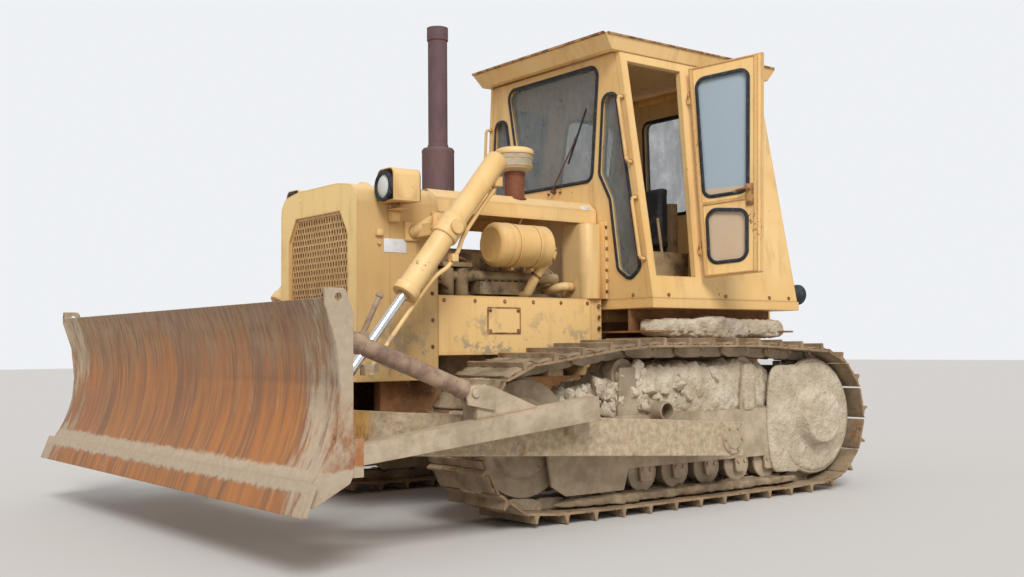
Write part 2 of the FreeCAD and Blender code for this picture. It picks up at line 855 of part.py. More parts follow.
def side_wall():
    """Left wall with the doorway and the window behind it."""
    outline = [(rear_at(0), 0), (front_at(0), 0), (front_at(cab_height), cab_height * slope),
               (rear_at(cab_height), cab_height * slope)]
    doorway = [(front_at(DOOR_BOTTOM) - POST, DOOR_BOTTOM * slope),
               (front_at(DOOR_TOP) - POST, DOOR_TOP * slope),
               (-430, DOOR_TOP * slope), (-360, DOOR_BOTTOM * slope)]
    window = [(-560, 690 * slope, 90), (-600, 1420 * slope, 90), (-1130, 1420 * slope, 90),
              (-1085, 690 * slope, 90)]
    wall = pad("XZ", outline, -dim.cab_wall, dim.cab_wall, [doorway, window])
    pane = pad("XZ", window, -(dim.cab_wall + dim.glass) / 2, dim.glass)
    for item in (wall, pane):
        item.Placement = side_turn
        bind(item, "Placement.Base.y", dim.cab_half_width)
        bind(item, "Placement.Base.z", dim.cab_bottom_z)
    return seated(wall), pane


side_turn = Placement(Vector(0, float(dim.cab_half_width), float(dim.cab_bottom_z)),
                      Rotation(Vector(1, 0, 0), side_lean))
left_wall, side_pane = side_wall()


def end_wall(edge_low, edge_high, facing, holes):
    """Front or rear wall, leaning from its bottom edge to its top edge."""
    rise = float(cab_height)
    run = float(edge_high - edge_low)
    length = math.hypot(rise, run)
    low_half = half_at(0) - wall_across - dim.running_gap
    high_half = half_at(cab_height) - wall_across - dim.running_gap
    outline = [(-low_half, 0), (low_half, 0), (high_half, length), (-high_half, length)]
    start = -dim.cab_wall if facing > 0 else size(0)
    pieces = [pad("YZ", outline, start, dim.cab_wall, holes)]
    for hole in holes:
        pieces.append(pad("YZ", hole, start + (dim.cab_wall - dim.glass) / 2, dim.glass))
    lean = math.degrees(math.atan2(run, rise))
    for item in pieces:
        item.Placement = Placement(Vector(float(edge_low), 0, float(dim.cab_bottom_z)),
                                   Rotation(Vector(0, 1, 0), lean))
        bind(item, "Placement.Base.x", edge_low)
        bind(item, "Placement.Base.z", dim.cab_bottom_z)
    pieces[0] = seated(pieces[0])
    return pieces


windscreen = [(-365, 775, 60), (365, 775, 60), (470, 1500, 70), (-470, 1500, 70)]
corner_window = [(575, 190, 50), (680, 120, 50), (775, 190, 60), (625, 1300, 50), (505, 1300, 60),
                 (440, 810, 60), (530, 640, 60)]
far_corner_window = [(-a, b, r) for a, b, r in reversed(corner_window)]
front_wall, *front_panes = end_wall(dim.cab_front_x, dim.cab_front_top_x, 1,
                                    [windscreen, corner_window, far_corner_window])
front_turn = Placement(front_panes[0].Placement)
sub_part("cab_front", group(front_wall))
rear_windows = [[(20, 700, 60), (480, 700, 60), (440, 1420, 60), (20, 1420, 60)],
                [(-480, 700, 60), (-20, 700, 60), (-20, 1420, 60), (-440, 1420, 60)]]
rear_wall, *rear_panes = end_wall(dim.cab_rear_x, dim.cab_rear_top_x, -1, rear_windows)
sub_part("cab_rear", group(rear_wall))
sub_part("cab_glass", group(*front_panes, *rear_panes, side_pane, mirror(side_pane)))


def roof():
    """Shallow roof with sloping edges."""
    z = dim.cab_top_z
    outline = [(dim.roof_rear_x + 60, z), (dim.roof_front_x - 70, z), (dim.roof_front_x, z + dim.roof_height),
               (dim.roof_rear_x, z + dim.roof_height)]
    whole = pad("XZ", outline, -dim.roof_half_width, dim.roof_half_width * 2)
    half = dim.roof_half_width
    front = pad("YZ", [(-half + 25, z), (half - 25, z), (half, z + dim.roof_height), (-half, z + dim.roof_height)],
                dim.roof_rear_x, dim.roof_front_x - dim.roof_rear_x)
    common = doc.addObject("Part::MultiCommon", "Overlap")
    common.Shapes = [whole, front]
    hollow = box((dim.roof_rear_x + 120, -half + 70, z - 1),
                 (dim.roof_front_x - dim.roof_rear_x - 240, half * 2 - 140, dim.roof_height - 24))
    return cut(common, hollow)


sub_part("cab_roof", roof())


def cab_floor():
    """Floor plate under the walls, with a sill along each side."""
    deck = box((dim.cab_rear_x - 16, -dim.cab_half_width, dim.cab_bottom_z - dim.cab_floor_plate),
               (dim.cab_front_x - dim.cab_rear_x + 16, dim.cab_half_width * 2, dim.cab_floor_plate))
    stand = box((-1250, -dim.case_half_width, dim.case_top_z),
                (1170, dim.case_half_width * 2, dim.cab_bottom_z - dim.cab_floor_plate - dim.case_top_z))
    return fuse(deck, stand)


sub_part("cab_floor", cab_floor())


def fender():
    """Plate over the track that carries the cab's edge."""
    deck_bottom = dim.cab_bottom_z - dim.cab_floor_plate
    web = box((-1300, 640, 1040), (1330, 12, deck_bottom - 1040))
    top = box((-1300, dim.case_half_width, 1028), (1330, 860 - dim.case_half_width, 12))
    return fuse(web, top)


sub_part("fenders", pair(fender()))

seat = fuse(box((-840, -260, dim.cab_bottom_z), (500, 520, 260)), box((-840, -240, dim.cab_bottom_z), (60, 480, 700)))
sub_part("seat_frame", seat)
cushions = group(pad("XZ", rectangle(-740, 1497.3, -330, 1600, 40), -250, 500),
                 pad("XZ", rectangle(-779.7, 1610, -690, 2060, 40), -240, 480))
sub_part("seat_cushion", cushions)


def controls():
    """Console, levers and the dash behind the windscreen."""
    dash = box((-180, -330, dim.cab_bottom_z), (150, 660, 620))
    console = box((-700, 330, dim.cab_bottom_z), (420, 140, 330))
    levers = []
    for y in (-60, 0, 60):
        levers.append(bar((-120, y, 1850), (-240, y, 2020), 9))
    side_lever = bar((-520, 400, 1560), (-480, 400, 1800), 11)
    return group(fuse(dash, *levers), fuse(console, side_lever))


sub_part("controls", controls())


def fuel_tank():
    """Tank behind the cab over the rear of the case."""
    tank = pad("XZ", [(-1600, 1100, 40), (-1357, 1100), (-1357, 1560), (-1600, 1560, 90)], -420, 840)
    return tank


sub_part("fuel_tank", fuel_tank())


def grab_rail(low, high):
    """Rail that stands off the front wall between two places (y, height) on it."""
    stand = 45
    low, high = [(float(y), float(height)) for y, height in (low, high)]
    points = [Vector(0.3, *low), Vector(stand, *low), Vector(stand, *high), Vector(0.3, *high)]
    reach = (points[2] - points[1]).normalize() * 10
    points[1] -= reach
    points[2] += reach
    rail = fuse(bar(points[0], points[0] + Vector(stand + 5, 0, 0), 11), bar(points[1], points[2], 11),
                bar(points[3], points[3] + Vector(stand + 5, 0, 0), 11))
    rail.Placement = front_turn
    return rail


rails = group(*[
    grab_rail((half_at(low) - dim.cab_wall / 2, low), (half_at(high) - dim.cab_wall / 2, high))
    for low, high in ((847, 1261), (242, 621))
])
sub_part("grab_rails", pair(rails))


def drawbar():
    """Rear hitch: a bracket with two jaws and an upright pin hole."""
    half = dim.jaw_half_width
    arm_x = dim.jaw_depth - dim.rear_reach
    arm = box((arm_x, -half, dim.jaw_bottom_z), (dim.case_rear_x - arm_x, half * 2, dim.jaw_height))
    outline = [(arm_x, -half), (arm_x, half), (-dim.rear_reach, half, 60), (-dim.rear_reach, -half, 60)]
    upper = pad("XY", outline, dim.jaw_bottom_z + dim.jaw_height - dim.jaw_plate, dim.jaw_plate)
    lower = pad("XY", outline, dim.jaw_bottom_z, dim.jaw_plate)
    hole = cylinder("z", (dim.hitch_pin_inset - dim.rear_reach, 0, dim.jaw_bottom_z - 20), dim.hitch_pin_radius,
                    dim.jaw_height + 40)
    return cut(fuse(arm, upper, lower), hole)


sub_part("drawbar", drawbar())


# Lamps on the nose.

lamp_y = dim.nose_half_width + 84
lamp_z = 1822


def lamp():
    """Round lamp under a folded hood on the nose's shoulder."""
    shell = drum("x", (1600, lamp_y, lamp_z), 78, 150, 32)
    hollow = drum("x", (1700, lamp_y, lamp_z), 66, 60, 32)
    hood_plate = pad("YZ", [(452, 1740), (624, 1740), (624, 1920, 30), (462, 1920, 30), (452, 1850)], 1560, 170)
    inside = pad("YZ", [(440, 1700), (616, 1700), (616, 1912, 26), (470, 1912, 26), (460, 1840)], 1568, 200)
    foot = box((1600, dim.nose_half_width, 1640), (60, 30, 160))
    return fuse(cut(shell, hollow), cut(hood_plate, inside), foot)


sub_part("headlamps", pair(lamp()))
sub_part("lamp_lenses", pair(drum("x", (1735, lamp_y, lamp_z), 65.7, 8, 32)))


# Blade, push frame and braces.

beam_lean = math.radians(float(dim.beam_slope))
beam_run = float(dim.cross_beam_x - dim.pivot_x)


def beam_z(x):
    """Height of the beams' middle line at a place along the machine."""
    return float(dim.pivot_z) + (x - float(dim.pivot_x)) * math.tan(beam_lean)


def push_frame():
    """Two side beams, joined in front by a cross beam with bevelled corners."""
    outer = float(dim.beam_inner_y + dim.beam_width)
    inner = float(dim.beam_inner_y)
    x_front = float(dim.cross_beam_x + dim.cross_beam_width)
    x_back = float(dim.cross_beam_x)
    bevel = 330
    rear = float(dim.pivot_x) - 100
    plan = [(rear, outer), (x_front - bevel, outer), (x_front, outer - bevel), (x_front, -outer + bevel),
            (x_front - bevel, -outer), (rear, -outer), (rear, -inner), (x_back - bevel * 0.9, -inner),
            (x_back, -inner + bevel * 0.9), (x_back, inner - bevel * 0.9), (x_back - bevel * 0.9, inner),
            (rear, inner)]
    height = float(dim.beam_height)
    frame = pad("XY", plan, -height / 2, height)
    frame.Placement = Placement(Vector(float(dim.pivot_x), 0, float(dim.pivot_z)),
                                Rotation(Vector(0, 1, 0), -float(dim.beam_slope)))
    # the plan is drawn from the pivot, so the frame turns about it
    sketch = [o for o in frame.Group if o.TypeId == "Sketcher::SketchObject"][0]
    sketch.AttachmentOffset = Placement(Vector(0, 0, -height / 2), Rotation())
    return frame


frame_body = push_frame()
pivot_back = Placement(Vector(-float(dim.pivot_x), 0, 0), Rotation())
frame_body.Placement = frame_body.Placement.multiply(pivot_back)
for axis in "xyz":
    frame_body.setExpression(f"Placement.Base.{axis}", None)
pin_holes = [cylinder("y", (dim.pivot_x, low, dim.pivot_z), 55.3, 300) for low in (1100, -1400)]


def lift_ear(y):
    """Plate that holds the lift rod's pin."""
    return pad("XZ", [(2150, 480), (2400, 520), (2330, 640, 30), (2240, 700, 40), (2150, 660, 40)], y, 22)


ears = []
for side in (1, -1):
    for offset in (-62, 40):
        low = dim.cylinder_y * side + offset
        ears.append(lift_ear(low))
    for offset in (-82, 62):
        ears.append(drum("y", (dim.rod_eye_x, dim.cylinder_y * side + offset, dim.rod_eye_z), 45, 20))
ball_x = 2535
ball_z = 550


def ball(radius):
    """Head of the joint that carries the blade's middle."""
    return drum("y", (ball_x, -radius, ball_z), radius, radius * 2, 24)


neck = drum("x", (2440, 0, ball_z), 40, ball_x - 2440)
sub_part("push_frame", fuse(cut(frame_body, *pin_holes), *ears, ball(60), neck))


def blade():
    """Curved mouldboard with end plates, a top roll and a rear box beam."""
    half = float(dim.blade_half_width)
    top = Vector(float(dim.blade_top_x), 0, float(dim.blade_top_z))
    joint = Vector(float(dim.blade_joint_x), 0, float(dim.blade_joint_z))
    hollow = Vector(float(dim.blade_hollow_x), 0, 770)
    curve = Part.Arc(top, hollow, joint).toShape()
    radius = curve.Curve.Radius
    centre = curve.Curve.Center - Vector(float(dim.blade_plate), 0, 0)

    def back_point(z):
        """Point on the board's rear face."""
        return Vector(centre.x - math.sqrt(radius ** 2 - (z - centre.z) ** 2), 0, z)

    def behind(x, low, high, y, width, rear_high=None):
        """Form behind the board from a rear line to the board's rear face."""
        first, last = back_point(low), back_point(high)
        middle = back_point((low + high) / 2)
        rear_top = Vector(rear_high or x, 0, high)
        edges = [Part.makeLine(Vector(x, 0, low), first), Part.Arc(first, middle, last).toShape(),
                 Part.makeLine(last, rear_top), Part.makeLine(rear_top, Vector(x, 0, low))]
        face = Part.Face(Part.Wire(edges))
        face.translate(Vector(0, y, 0))
        return solid(face.extrude(Vector(0, width, 0)))

    back = [back_point(p.z) for p in (top, hollow, joint)]
    edges = [curve, Part.makeLine(joint, back[2]), Part.Arc(back[2], back[1], back[0]).toShape(),
             Part.makeLine(back[0], top)]
    face = Part.Face(Part.Wire(edges))
    face.translate(Vector(0, -half + 20, 0))
    board = solid(face.extrude(Vector(0, 2 * half - 40, 0)))
    ends = [
        pad("XZ", [(2620, 420), (2635, 392), (2800, 305), (2836, 305), (2800, 400), (2700, 560), (2680, 770),
                   (2700, 960), (2755, 1120), (2755, 1190), (2660, 1190, 20), (2620, 1090)], low, 20)
        for low in (half - 20, -half)
    ]
    inside = 2 * half - 40
    roll = behind(2640, 1075, 1118, -half + 20, inside)
    beam = behind(2560, 410, 570, -half + 20, inside)
    ribs = [behind(2600, 570, 1075, y - 10, 20, 2640) for y in (-1450, -1000, -500, 0, 500, 1000, 1450)]
    backing = pad("XZ", [(back[2].x, 400), (2800, 400), (2831, 320), (2815, 320)], -half + 20, inside)
    socket = box((2512, -95, ball_z - 95), (48, 190, 190))
    eyes = cylinder("y", (2690, -half - 10, 1152), 16, 2 * half + 20)
    return cut(fuse(board, *ends, roll, beam, *ribs, backing, socket), ball(60.3), eyes)


sub_part("blade", blade())
edge = pad("XZ", [(2800, 400), (2820, 408), (dim.front_reach, dim.blade_edge_z), (2850, dim.blade_edge_z)],
           -1760, 3520)
sub_part("cutting_edge", edge)


def strut():
    """Lower arm from the blade back to the push frame's side, with its gusset."""
    arm = pad("XZ", [(2560, 380), (2560, 490), (1047, 680), (960, 660), (960, 600), (1047, 565)], 1400, 90)
    gusset = pad("XZ", [(1416, 615), (1711, 749), (1800, 760), (1800, 560), (1416, 600)], 1430, 30)
    lug = box((980, 1334, 480), (110, 66, 200))
    return fuse(arm, gusset, lug)


sub_part("struts", pair(strut()))


def brace():
    """Tilt brace: a tube from the gusset up to the blade's top corner."""
    tube = bar((1818, 1445, 727), (2560, 1445, 1010), 42, 16)
    clevis = [box((1700, y, 672), (160, 14, 90)) for y in (1415.7, 1460.3)]
    handle = bar((2350, 1445, 930), (2390, 1445, 1130), 10)
    cheeks = [box((2540, y, 940), (90, 16, 130)) for y in (1424, 1460)]
    return fuse(tube, *clevis, handle, *cheeks)


sub_part("braces", pair(brace()))


# Lift cylinders: barrel on a trunnion beside the nose, rod down to the push frame.

reach = Vector(float(dim.rod_eye_x - dim.trunnion_x), 0, float(dim.rod_eye_z - dim.trunnion_z))
down = Vector(reach).normalize()


def along(distance, y):
    """Point on the cylinder's line, measured from the trunnion toward the rod's eye."""
    return (float(dim.trunnion_x) + down.x * distance, y, float(dim.trunnion_z) + down.z * distance)


def barrel(side):
    """Tube closed at the top, with a gland ring and trunnion pins."""
    y = float(dim.cylinder_y) * side
    top = -float(dim.barrel_above)
    full = float(dim.barrel_above + dim.barrel_below)
    outer = cylinder(tuple(down), along(top, y), dim.barrel_radius, full)
    gland = drum(tuple(down), along(float(dim.barrel_below) - 50, y), dim.barrel_radius + 9, 50, 24)
    bore = cylinder(tuple(down), along(top + 20, y), dim.barrel_radius - dim.barrel_wall, full - 50)
    neck = cylinder(tuple(down), along(float(dim.barrel_below) - 60, y), dim.rod_radius + dim.running_gap, 80)
    block = drum("y", (dim.trunnion_x, y - 85, dim.trunnion_z), 38, 170)
    collar = drum(tuple(down), along(-60, y), dim.barrel_radius + 12, 120, 24)
    return cut(fuse(outer, gland, collar, block), bore, neck)


def rod(side):
    """Rod with its piston inside the barrel and an eye at the free end."""
    y = float(dim.cylinder_y) * side
    eye = reach.Length
    shaft = cylinder(tuple(down), along(eye - float(dim.rod_length), y), dim.rod_radius, float(dim.rod_length) - 30)
    eye_ring = drum("y", (dim.rod_eye_x, y - 36, dim.rod_eye_z), 50, 72, 16)
    return fuse(shaft, eye_ring)


for label, side in (("left", 1), ("right", -1)):
    sub_part(f"cyl_barrel_{label}", barrel(side))
    sub_part(f"cyl_rod_{label}", rod(side))


def trunnion_yoke():
    """Arm from the nose's side that holds the cylinder's trunnion."""
    arm = box((1380, dim.nose_half_width, 1560), (120, 620 - dim.nose_half_width, 70))
    cheek = pad("XZ", [(1390, 1500), (1490, 1500), (1490, 1690), (1390, 1690)], 620, 14.7)
    return fuse(arm, cheek)


sub_part("lift_brackets", pair(trunnion_yoke()))


# Doors: a lapped panel hinged on the rear post, the left one standing open.

def door():
    """Left door lying closed over the doorway, with its two windows."""
    low = (DOOR_BOTTOM - 12) * slope
    high = (DOOR_TOP + 12) * slope
    front_low = front_at(DOOR_BOTTOM) - POST + 12
    front_high = front_at(DOOR_TOP) - POST + 12
    outline = [(-393, low), (front_low, low), (front_high, high), (-468, high)]
    upper = [(-375, 640 * slope, 50), (-75, 640 * slope, 50), (-45, 1420 * slope, 60), (-410, 1420 * slope, 60)]
    lower = [(-350, 215 * slope, 50), (-95, 215 * slope, 50), (-85, 520 * slope, 90), (-360, 560 * slope, 50)]
    panel = pad("XZ", outline, dim.door_gap, dim.door_plate, [upper, lower])
    panes = [pad("XZ", ring, dim.door_gap + (dim.door_plate - dim.glass) / 2, dim.glass) for ring in (upper, lower)]
    return panel, panes


hinge_out = float(dim.door_gap + dim.door_plate / 2)
hinge_low = Vector(-404, hinge_out, (DOOR_BOTTOM - 12) * slope)
hinge_high = Vector(-479, hinge_out, (DOOR_TOP + 12) * slope)
hinge_run = Vector(hinge_high - hinge_low).normalize()


def knuckles(door_side):
    """Hinge barrels on the door's edge, or the halves below them on the wall."""
    made = []
    for share in (0.14, 0.86):
        point = hinge_low + (hinge_high - hinge_low) * share
        if door_side:
            made.append(drum(tuple(hinge_run), point + hinge_run * 0.3, 10, 45, 8))
            made.append(box((point.x + 2, point.y - 6, point.z + 6), (14, 12, 32)))
        else:
            made.append(drum(tuple(hinge_run), point - hinge_run * 45, 10, 45, 8))
            made.append(box((point.x - 8, 0, point.z - 40), (16, hinge_out - 4, 34)))
    return made


panel, door_panes = door()
leaf = fuse(panel, *knuckles(True))
leaf_panes = group(*door_panes)
posts = fuse(*knuckles(False))
posts.Placement = side_turn
left_wall_whole = group(left_wall, posts)
sub_part("cab_right", mirror(left_wall_whole))
sub_part("cab_left", group(left_wall_whole))

hinge_axis = side_turn.Rotation.multVec(hinge_run)
swing = Placement(Vector(), Rotation(hinge_axis, float(dim.door_open)), side_turn.multVec(hinge_low))


def moved(item, placement):
    """A copy of a finished piece at a place of its own."""
    copy = group(item)
    copy.Placement = placement
    return copy


for name, item in (("door", leaf), ("door_glass", leaf_panes)):
    sub_part(f"{name}_right", mirror(moved(item, side_turn)))
    sub_part(f"{name}_left", moved(item, swing.multiply(side_turn)))

doc.recompute()
bad = [o.Name + " " + o.Label for o in doc.Objects if any(s in ("Invalid", "Error") for s in o.State)]
if bad:
    raise SystemExit("failed objects: " + ", ".join(bad))

os.makedirs("parts", exist_ok=True)
whole = FreeCAD.BoundBox()
facets = 0
for label, item in sub_parts.items():
    shape = item.Shape
    if shape.isNull() or not shape.isValid() or not shape.Solids:
        raise SystemExit(f"{label} has no valid solid")
    whole.add(shape.BoundBox)
    shape.exportStep(f"parts/{label}.step")
print("nodes", len(sub_parts))
print("box", [round(v, 1) for v in (whole.XMin, whole.XMax, whole.YMin, whole.YMax, whole.ZMin, whole.ZMax)])
print("hinge", side_turn.multVec(hinge_low), hinge_axis)
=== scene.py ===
"""Looks of the tracked bulldozer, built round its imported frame.

X points forward, Y to the machine's left and Z up, in metres, with the origin on
the ground under the middle of the machine.
"""

import json
import math
import random

import bmesh
import bpy
from mathutils import Matrix, Vector, noise


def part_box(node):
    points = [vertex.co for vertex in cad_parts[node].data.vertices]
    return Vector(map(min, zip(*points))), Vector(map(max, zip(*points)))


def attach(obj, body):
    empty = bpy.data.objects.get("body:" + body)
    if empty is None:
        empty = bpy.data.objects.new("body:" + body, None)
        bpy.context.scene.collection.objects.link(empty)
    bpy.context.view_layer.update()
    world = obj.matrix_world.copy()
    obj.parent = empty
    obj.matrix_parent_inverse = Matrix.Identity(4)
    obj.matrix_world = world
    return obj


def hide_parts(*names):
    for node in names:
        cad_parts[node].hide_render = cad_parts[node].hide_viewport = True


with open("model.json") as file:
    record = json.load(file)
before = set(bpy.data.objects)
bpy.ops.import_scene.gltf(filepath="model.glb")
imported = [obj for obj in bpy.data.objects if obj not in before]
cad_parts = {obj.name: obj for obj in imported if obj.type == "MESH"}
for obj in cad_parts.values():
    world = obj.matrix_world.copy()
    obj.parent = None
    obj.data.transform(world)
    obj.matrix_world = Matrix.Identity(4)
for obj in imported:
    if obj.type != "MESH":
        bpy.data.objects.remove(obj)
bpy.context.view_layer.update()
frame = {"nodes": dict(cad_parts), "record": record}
SHIFT = -0.531  # from the machine's middle to the middle of the tracks, along X


def at(x, y, z):
    """A place whose x is measured from the middle of the tracks."""
    return Vector((x + SHIFT, y, z))


def flat(outline, y):
    """An upright outline of (x, z) points at one y."""
    return [at(x, y, z) for x, z in outline]


# Camera, light and floor.

IMAGE_WIDTH = 1024
FOCAL_LENGTH = 1151.4  # in pixels of that width
SENSOR_WIDTH = 36.0
CAMERA_PLACE = (5.0132, 5.8664, 0.9376)
CAMERA_TURN = (232.111, 2.963, -0.474)  # yaw, pitch and roll


def place_camera():
    """Stand the camera where the photograph was taken from."""
    data = bpy.data.cameras.new("camera")
    data.sensor_fit = "HORIZONTAL"
    data.sensor_width = SENSOR_WIDTH
    data.lens = FOCAL_LENGTH * SENSOR_WIDTH / IMAGE_WIDTH
    data.clip_end = 200
    camera = bpy.data.objects.new("camera", data)
    bpy.context.scene.collection.objects.link(camera)
    yaw, pitch, roll = (math.radians(v) for v in CAMERA_TURN)
    ahead = Vector((math.cos(yaw) * math.cos(pitch), math.sin(yaw) * math.cos(pitch), math.sin(pitch)))
    level = Vector((math.sin(yaw), -math.cos(yaw), 0))
    upright = level.cross(ahead)
    right = level * math.cos(roll) + upright * math.sin(roll)
    up = upright * math.cos(roll) - level * math.sin(roll)
    turn = Matrix((right, up, -ahead)).transposed().to_4x4()
    camera.matrix_world = Matrix.Translation(at(*CAMERA_PLACE)) @ turn
    bpy.context.scene.camera = camera


def lamp(name, kind, energy, direction, size):
    """A soft lamp that shines along a direction."""
    data = bpy.data.lights.new(name, kind)
    data.energy = energy
    data.angle = size
    item = bpy.data.objects.new(name, data)
    item.rotation_mode = "QUATERNION"
    item.rotation_quaternion = Vector(direction).to_track_quat("-Z", "Y")
    bpy.context.scene.collection.objects.link(item)


def light_scene():
    """An even pale sky, and one broad lamp from above the camera's side."""
    bpy.context.scene.view_settings.view_transform = "Standard"
    world = bpy.data.worlds.new("sky")
    bpy.context.scene.world = world
    world.use_nodes = True
    tree = world.node_tree
    tree.nodes.clear()
    out = tree.nodes.new("ShaderNodeOutputWorld")
    mix = tree.nodes.new("ShaderNodeMixShader")
    sky = tree.nodes.new("ShaderNodeBackground")
    sky.inputs["Color"].default_value = (0.98, 0.98, 1.0, 1)
    sky.inputs["Strength"].default_value = 0.62
    seen = tree.nodes.new("ShaderNodeBackground")
    seen.inputs["Color"].default_value = (0.86, 0.88, 0.90, 1)
    seen.inputs["Strength"].default_value = 1.0
    path = tree.nodes.new("ShaderNodeLightPath")
    tree.links.new(path.outputs["Is Camera Ray"], mix.inputs[0])
    tree.links.new(sky.outputs[0], mix.inputs[1])
    tree.links.new(seen.outputs[0], mix.inputs[2])
    tree.links.new(mix.outputs[0], out.inputs["Surface"])
    lamp("broad_lamp", "SUN", 2.2, (-0.52, -0.92, -0.95), math.radians(25))


# Materials.

class Value:
    """A shader socket that takes part in sums and products like a number."""

    def __init__(self, finish, socket):
        self.finish = finish
        self.socket = socket

    def __add__(self, other):
        return self.finish.maths("ADD", self, other)

    __radd__ = __add__

    def __sub__(self, other):
        return self.finish.maths("SUBTRACT", self, other)

    def __rsub__(self, other):
        return self.finish.maths("SUBTRACT", other, self)

    def __mul__(self, other):
        return self.finish.maths("MULTIPLY", self, other)

    __rmul__ = __mul__

    def __pow__(self, other):
        return self.finish.maths("POWER", self, other)


class Finish:
    """A material in the making: its shader and the nodes that feed it."""

    def __init__(self, name, shine=0.5, **steady):
        self.material = bpy.data.materials.new(name)
        self.material.use_nodes = True
        self.tree = self.material.node_tree
        self.shader = self.tree.nodes["Principled BSDF"]
        self.place = self.node("ShaderNodeTexCoord", "Object")
        for socket, value in steady.items():
            self.shader.inputs[socket.capitalize()].default_value = value
        self.shader.inputs["Specular IOR Level"].default_value = shine

    def node(self, kind, output, settings=None, inputs=None):
        """Add a node: its settings first, then its sockets' values or links."""
        made = self.tree.nodes.new(kind)
        for name, value in (settings or {}).items():
            if name == "stops":
                while len(made.color_ramp.elements) < len(value):
                    made.color_ramp.elements.new(1.0)
                for element, (spot, colour) in zip(made.color_ramp.elements, value):
                    element.position = spot
                    element.color = (*colour, 1)
            else:
                setattr(made, name, value)
        for name, value in (inputs or {}).items():
            self.feed(made.inputs[name], value)
        return Value(self, made.outputs[output])

    def feed(self, socket, value):
        """Link a value to a socket, or set the socket to it."""
        if isinstance(value, Value):
            self.tree.links.new(value.socket, socket)
        elif isinstance(value, tuple) and len(value) == 3 and len(socket.default_value) == 4:
            socket.default_value = (*value, 1)
        else:
            socket.default_value = value

    def maths(self, operation, a, b=0.0):
        """A sum, product or other reckoning of two values."""
        return self.node("ShaderNodeMath", 0, {"operation": operation}, {0: a, 1: b})

    def top(self, a, b):
        """The larger of two values at each point."""
        return self.maths("MAXIMUM", a, b)

    def mix(self, mask, a, b):
        """Colour a where the mask is 0 and colour b where it is 1."""
        return self.node("ShaderNodeMix", 2, {"data_type": "RGBA"}, {0: mask, 6: a, 7: b})

    def step(self, value, low, high):
        """Rise smoothly from 0 at low to 1 at high."""
        return self.node("ShaderNodeMapRange", 0, {"interpolation_type": "SMOOTHSTEP"},
                         {0: value, 1: low, 2: high, 3: 0.0, 4: 1.0})

    def spread(self, stretch, shift=(0, 0, 0)):
        """The place on the piece, stretched for a pattern."""
        return self.node("ShaderNodeVectorMath", 0, {"operation": "MULTIPLY_ADD"},
                         {0: self.place, 1: stretch, 2: shift})

    def noise(self, scale, detail=4.0, rough=0.55, stretch=(1, 1, 1), shift=(0, 0, 0), warp=0.0):
        """Cloudy variation from 0 to 1 with its middle at 0.5."""
        return self.node("ShaderNodeTexNoise", 0, None,
                         {"Vector": self.spread(stretch, shift), "Scale": scale, "Detail": detail,
                          "Roughness": rough, "Distortion": warp})

    def cells(self, scale, output=0, **settings):
        """Distance to scattered cell centres, or another of the pattern's outputs."""
        return self.node("ShaderNodeTexVoronoi", output, settings, {"Vector": self.place, "Scale": scale})

    def height(self):
        """How high each point lies."""
        return self.node("ShaderNodeSeparateXYZ", 2, None, {0: self.place})

    def along(self, axis):
        """Where each point lies along one axis."""
        return self.node("ShaderNodeSeparateXYZ", axis, None, {0: self.place})

    def facing(self, axis):
        """How much the surface faces along one axis of its piece."""
        normal = self.node("ShaderNodeTexCoord", "Normal")
        return self.node("ShaderNodeSeparateXYZ", axis, None, {0: normal})

    def edges(self, radius):
        """Over 0 within a radius of a sharp edge."""
        rounded = self.node("ShaderNodeBevel", 0, {"samples": 4}, {"Radius": radius})
        flat = self.node("ShaderNodeNewGeometry", "Normal")
        along = self.node("ShaderNodeVectorMath", "Value", {"operation": "DOT_PRODUCT"},
                          {0: rounded, 1: flat})
        return 1 - along

    def nooks(self, distance):
        """1 deep in corners and 0 on open faces."""
        seen = self.node("ShaderNodeAmbientOcclusion", 1, {"samples": 4, "only_local": True},
                         {"Distance": distance})
        return 1 - seen

    def bump(self, height, distance, strength=1.0, under=None):
        """Relief from a height, laid over another relief where one is given."""
        inputs = {"Strength": strength, "Distance": distance, "Height": height}
        if under is not None:
            inputs["Normal"] = under
        return self.node("ShaderNodeBump", 0, None, inputs)

    def finish(self, colour, roughness=None, normal=None):
        """Set what varies over the surface and hand back the material."""
        self.feed(self.shader.inputs["Base Color"], colour)
        if roughness is not None:
            self.feed(self.shader.inputs["Roughness"], roughness)
        if normal is not None:
            self.feed(self.shader.inputs["Normal"], normal)
        return self.material


RUST_DARK = (0.105, 0.045, 0.026)
RUST = (0.27, 0.105, 0.04)
RUST_BRIGHT = (0.44, 0.17, 0.05)
MUD = (0.50, 0.41, 0.29)
MUD_PALE = (0.66, 0.57, 0.44)
MUD_DARK = (0.20, 0.155, 0.10)
YELLOW = (0.80, 0.50, 0.185)
YELLOW_PALE = (0.87, 0.60, 0.27)
YELLOW_DIRTY = (0.50, 0.30, 0.12)


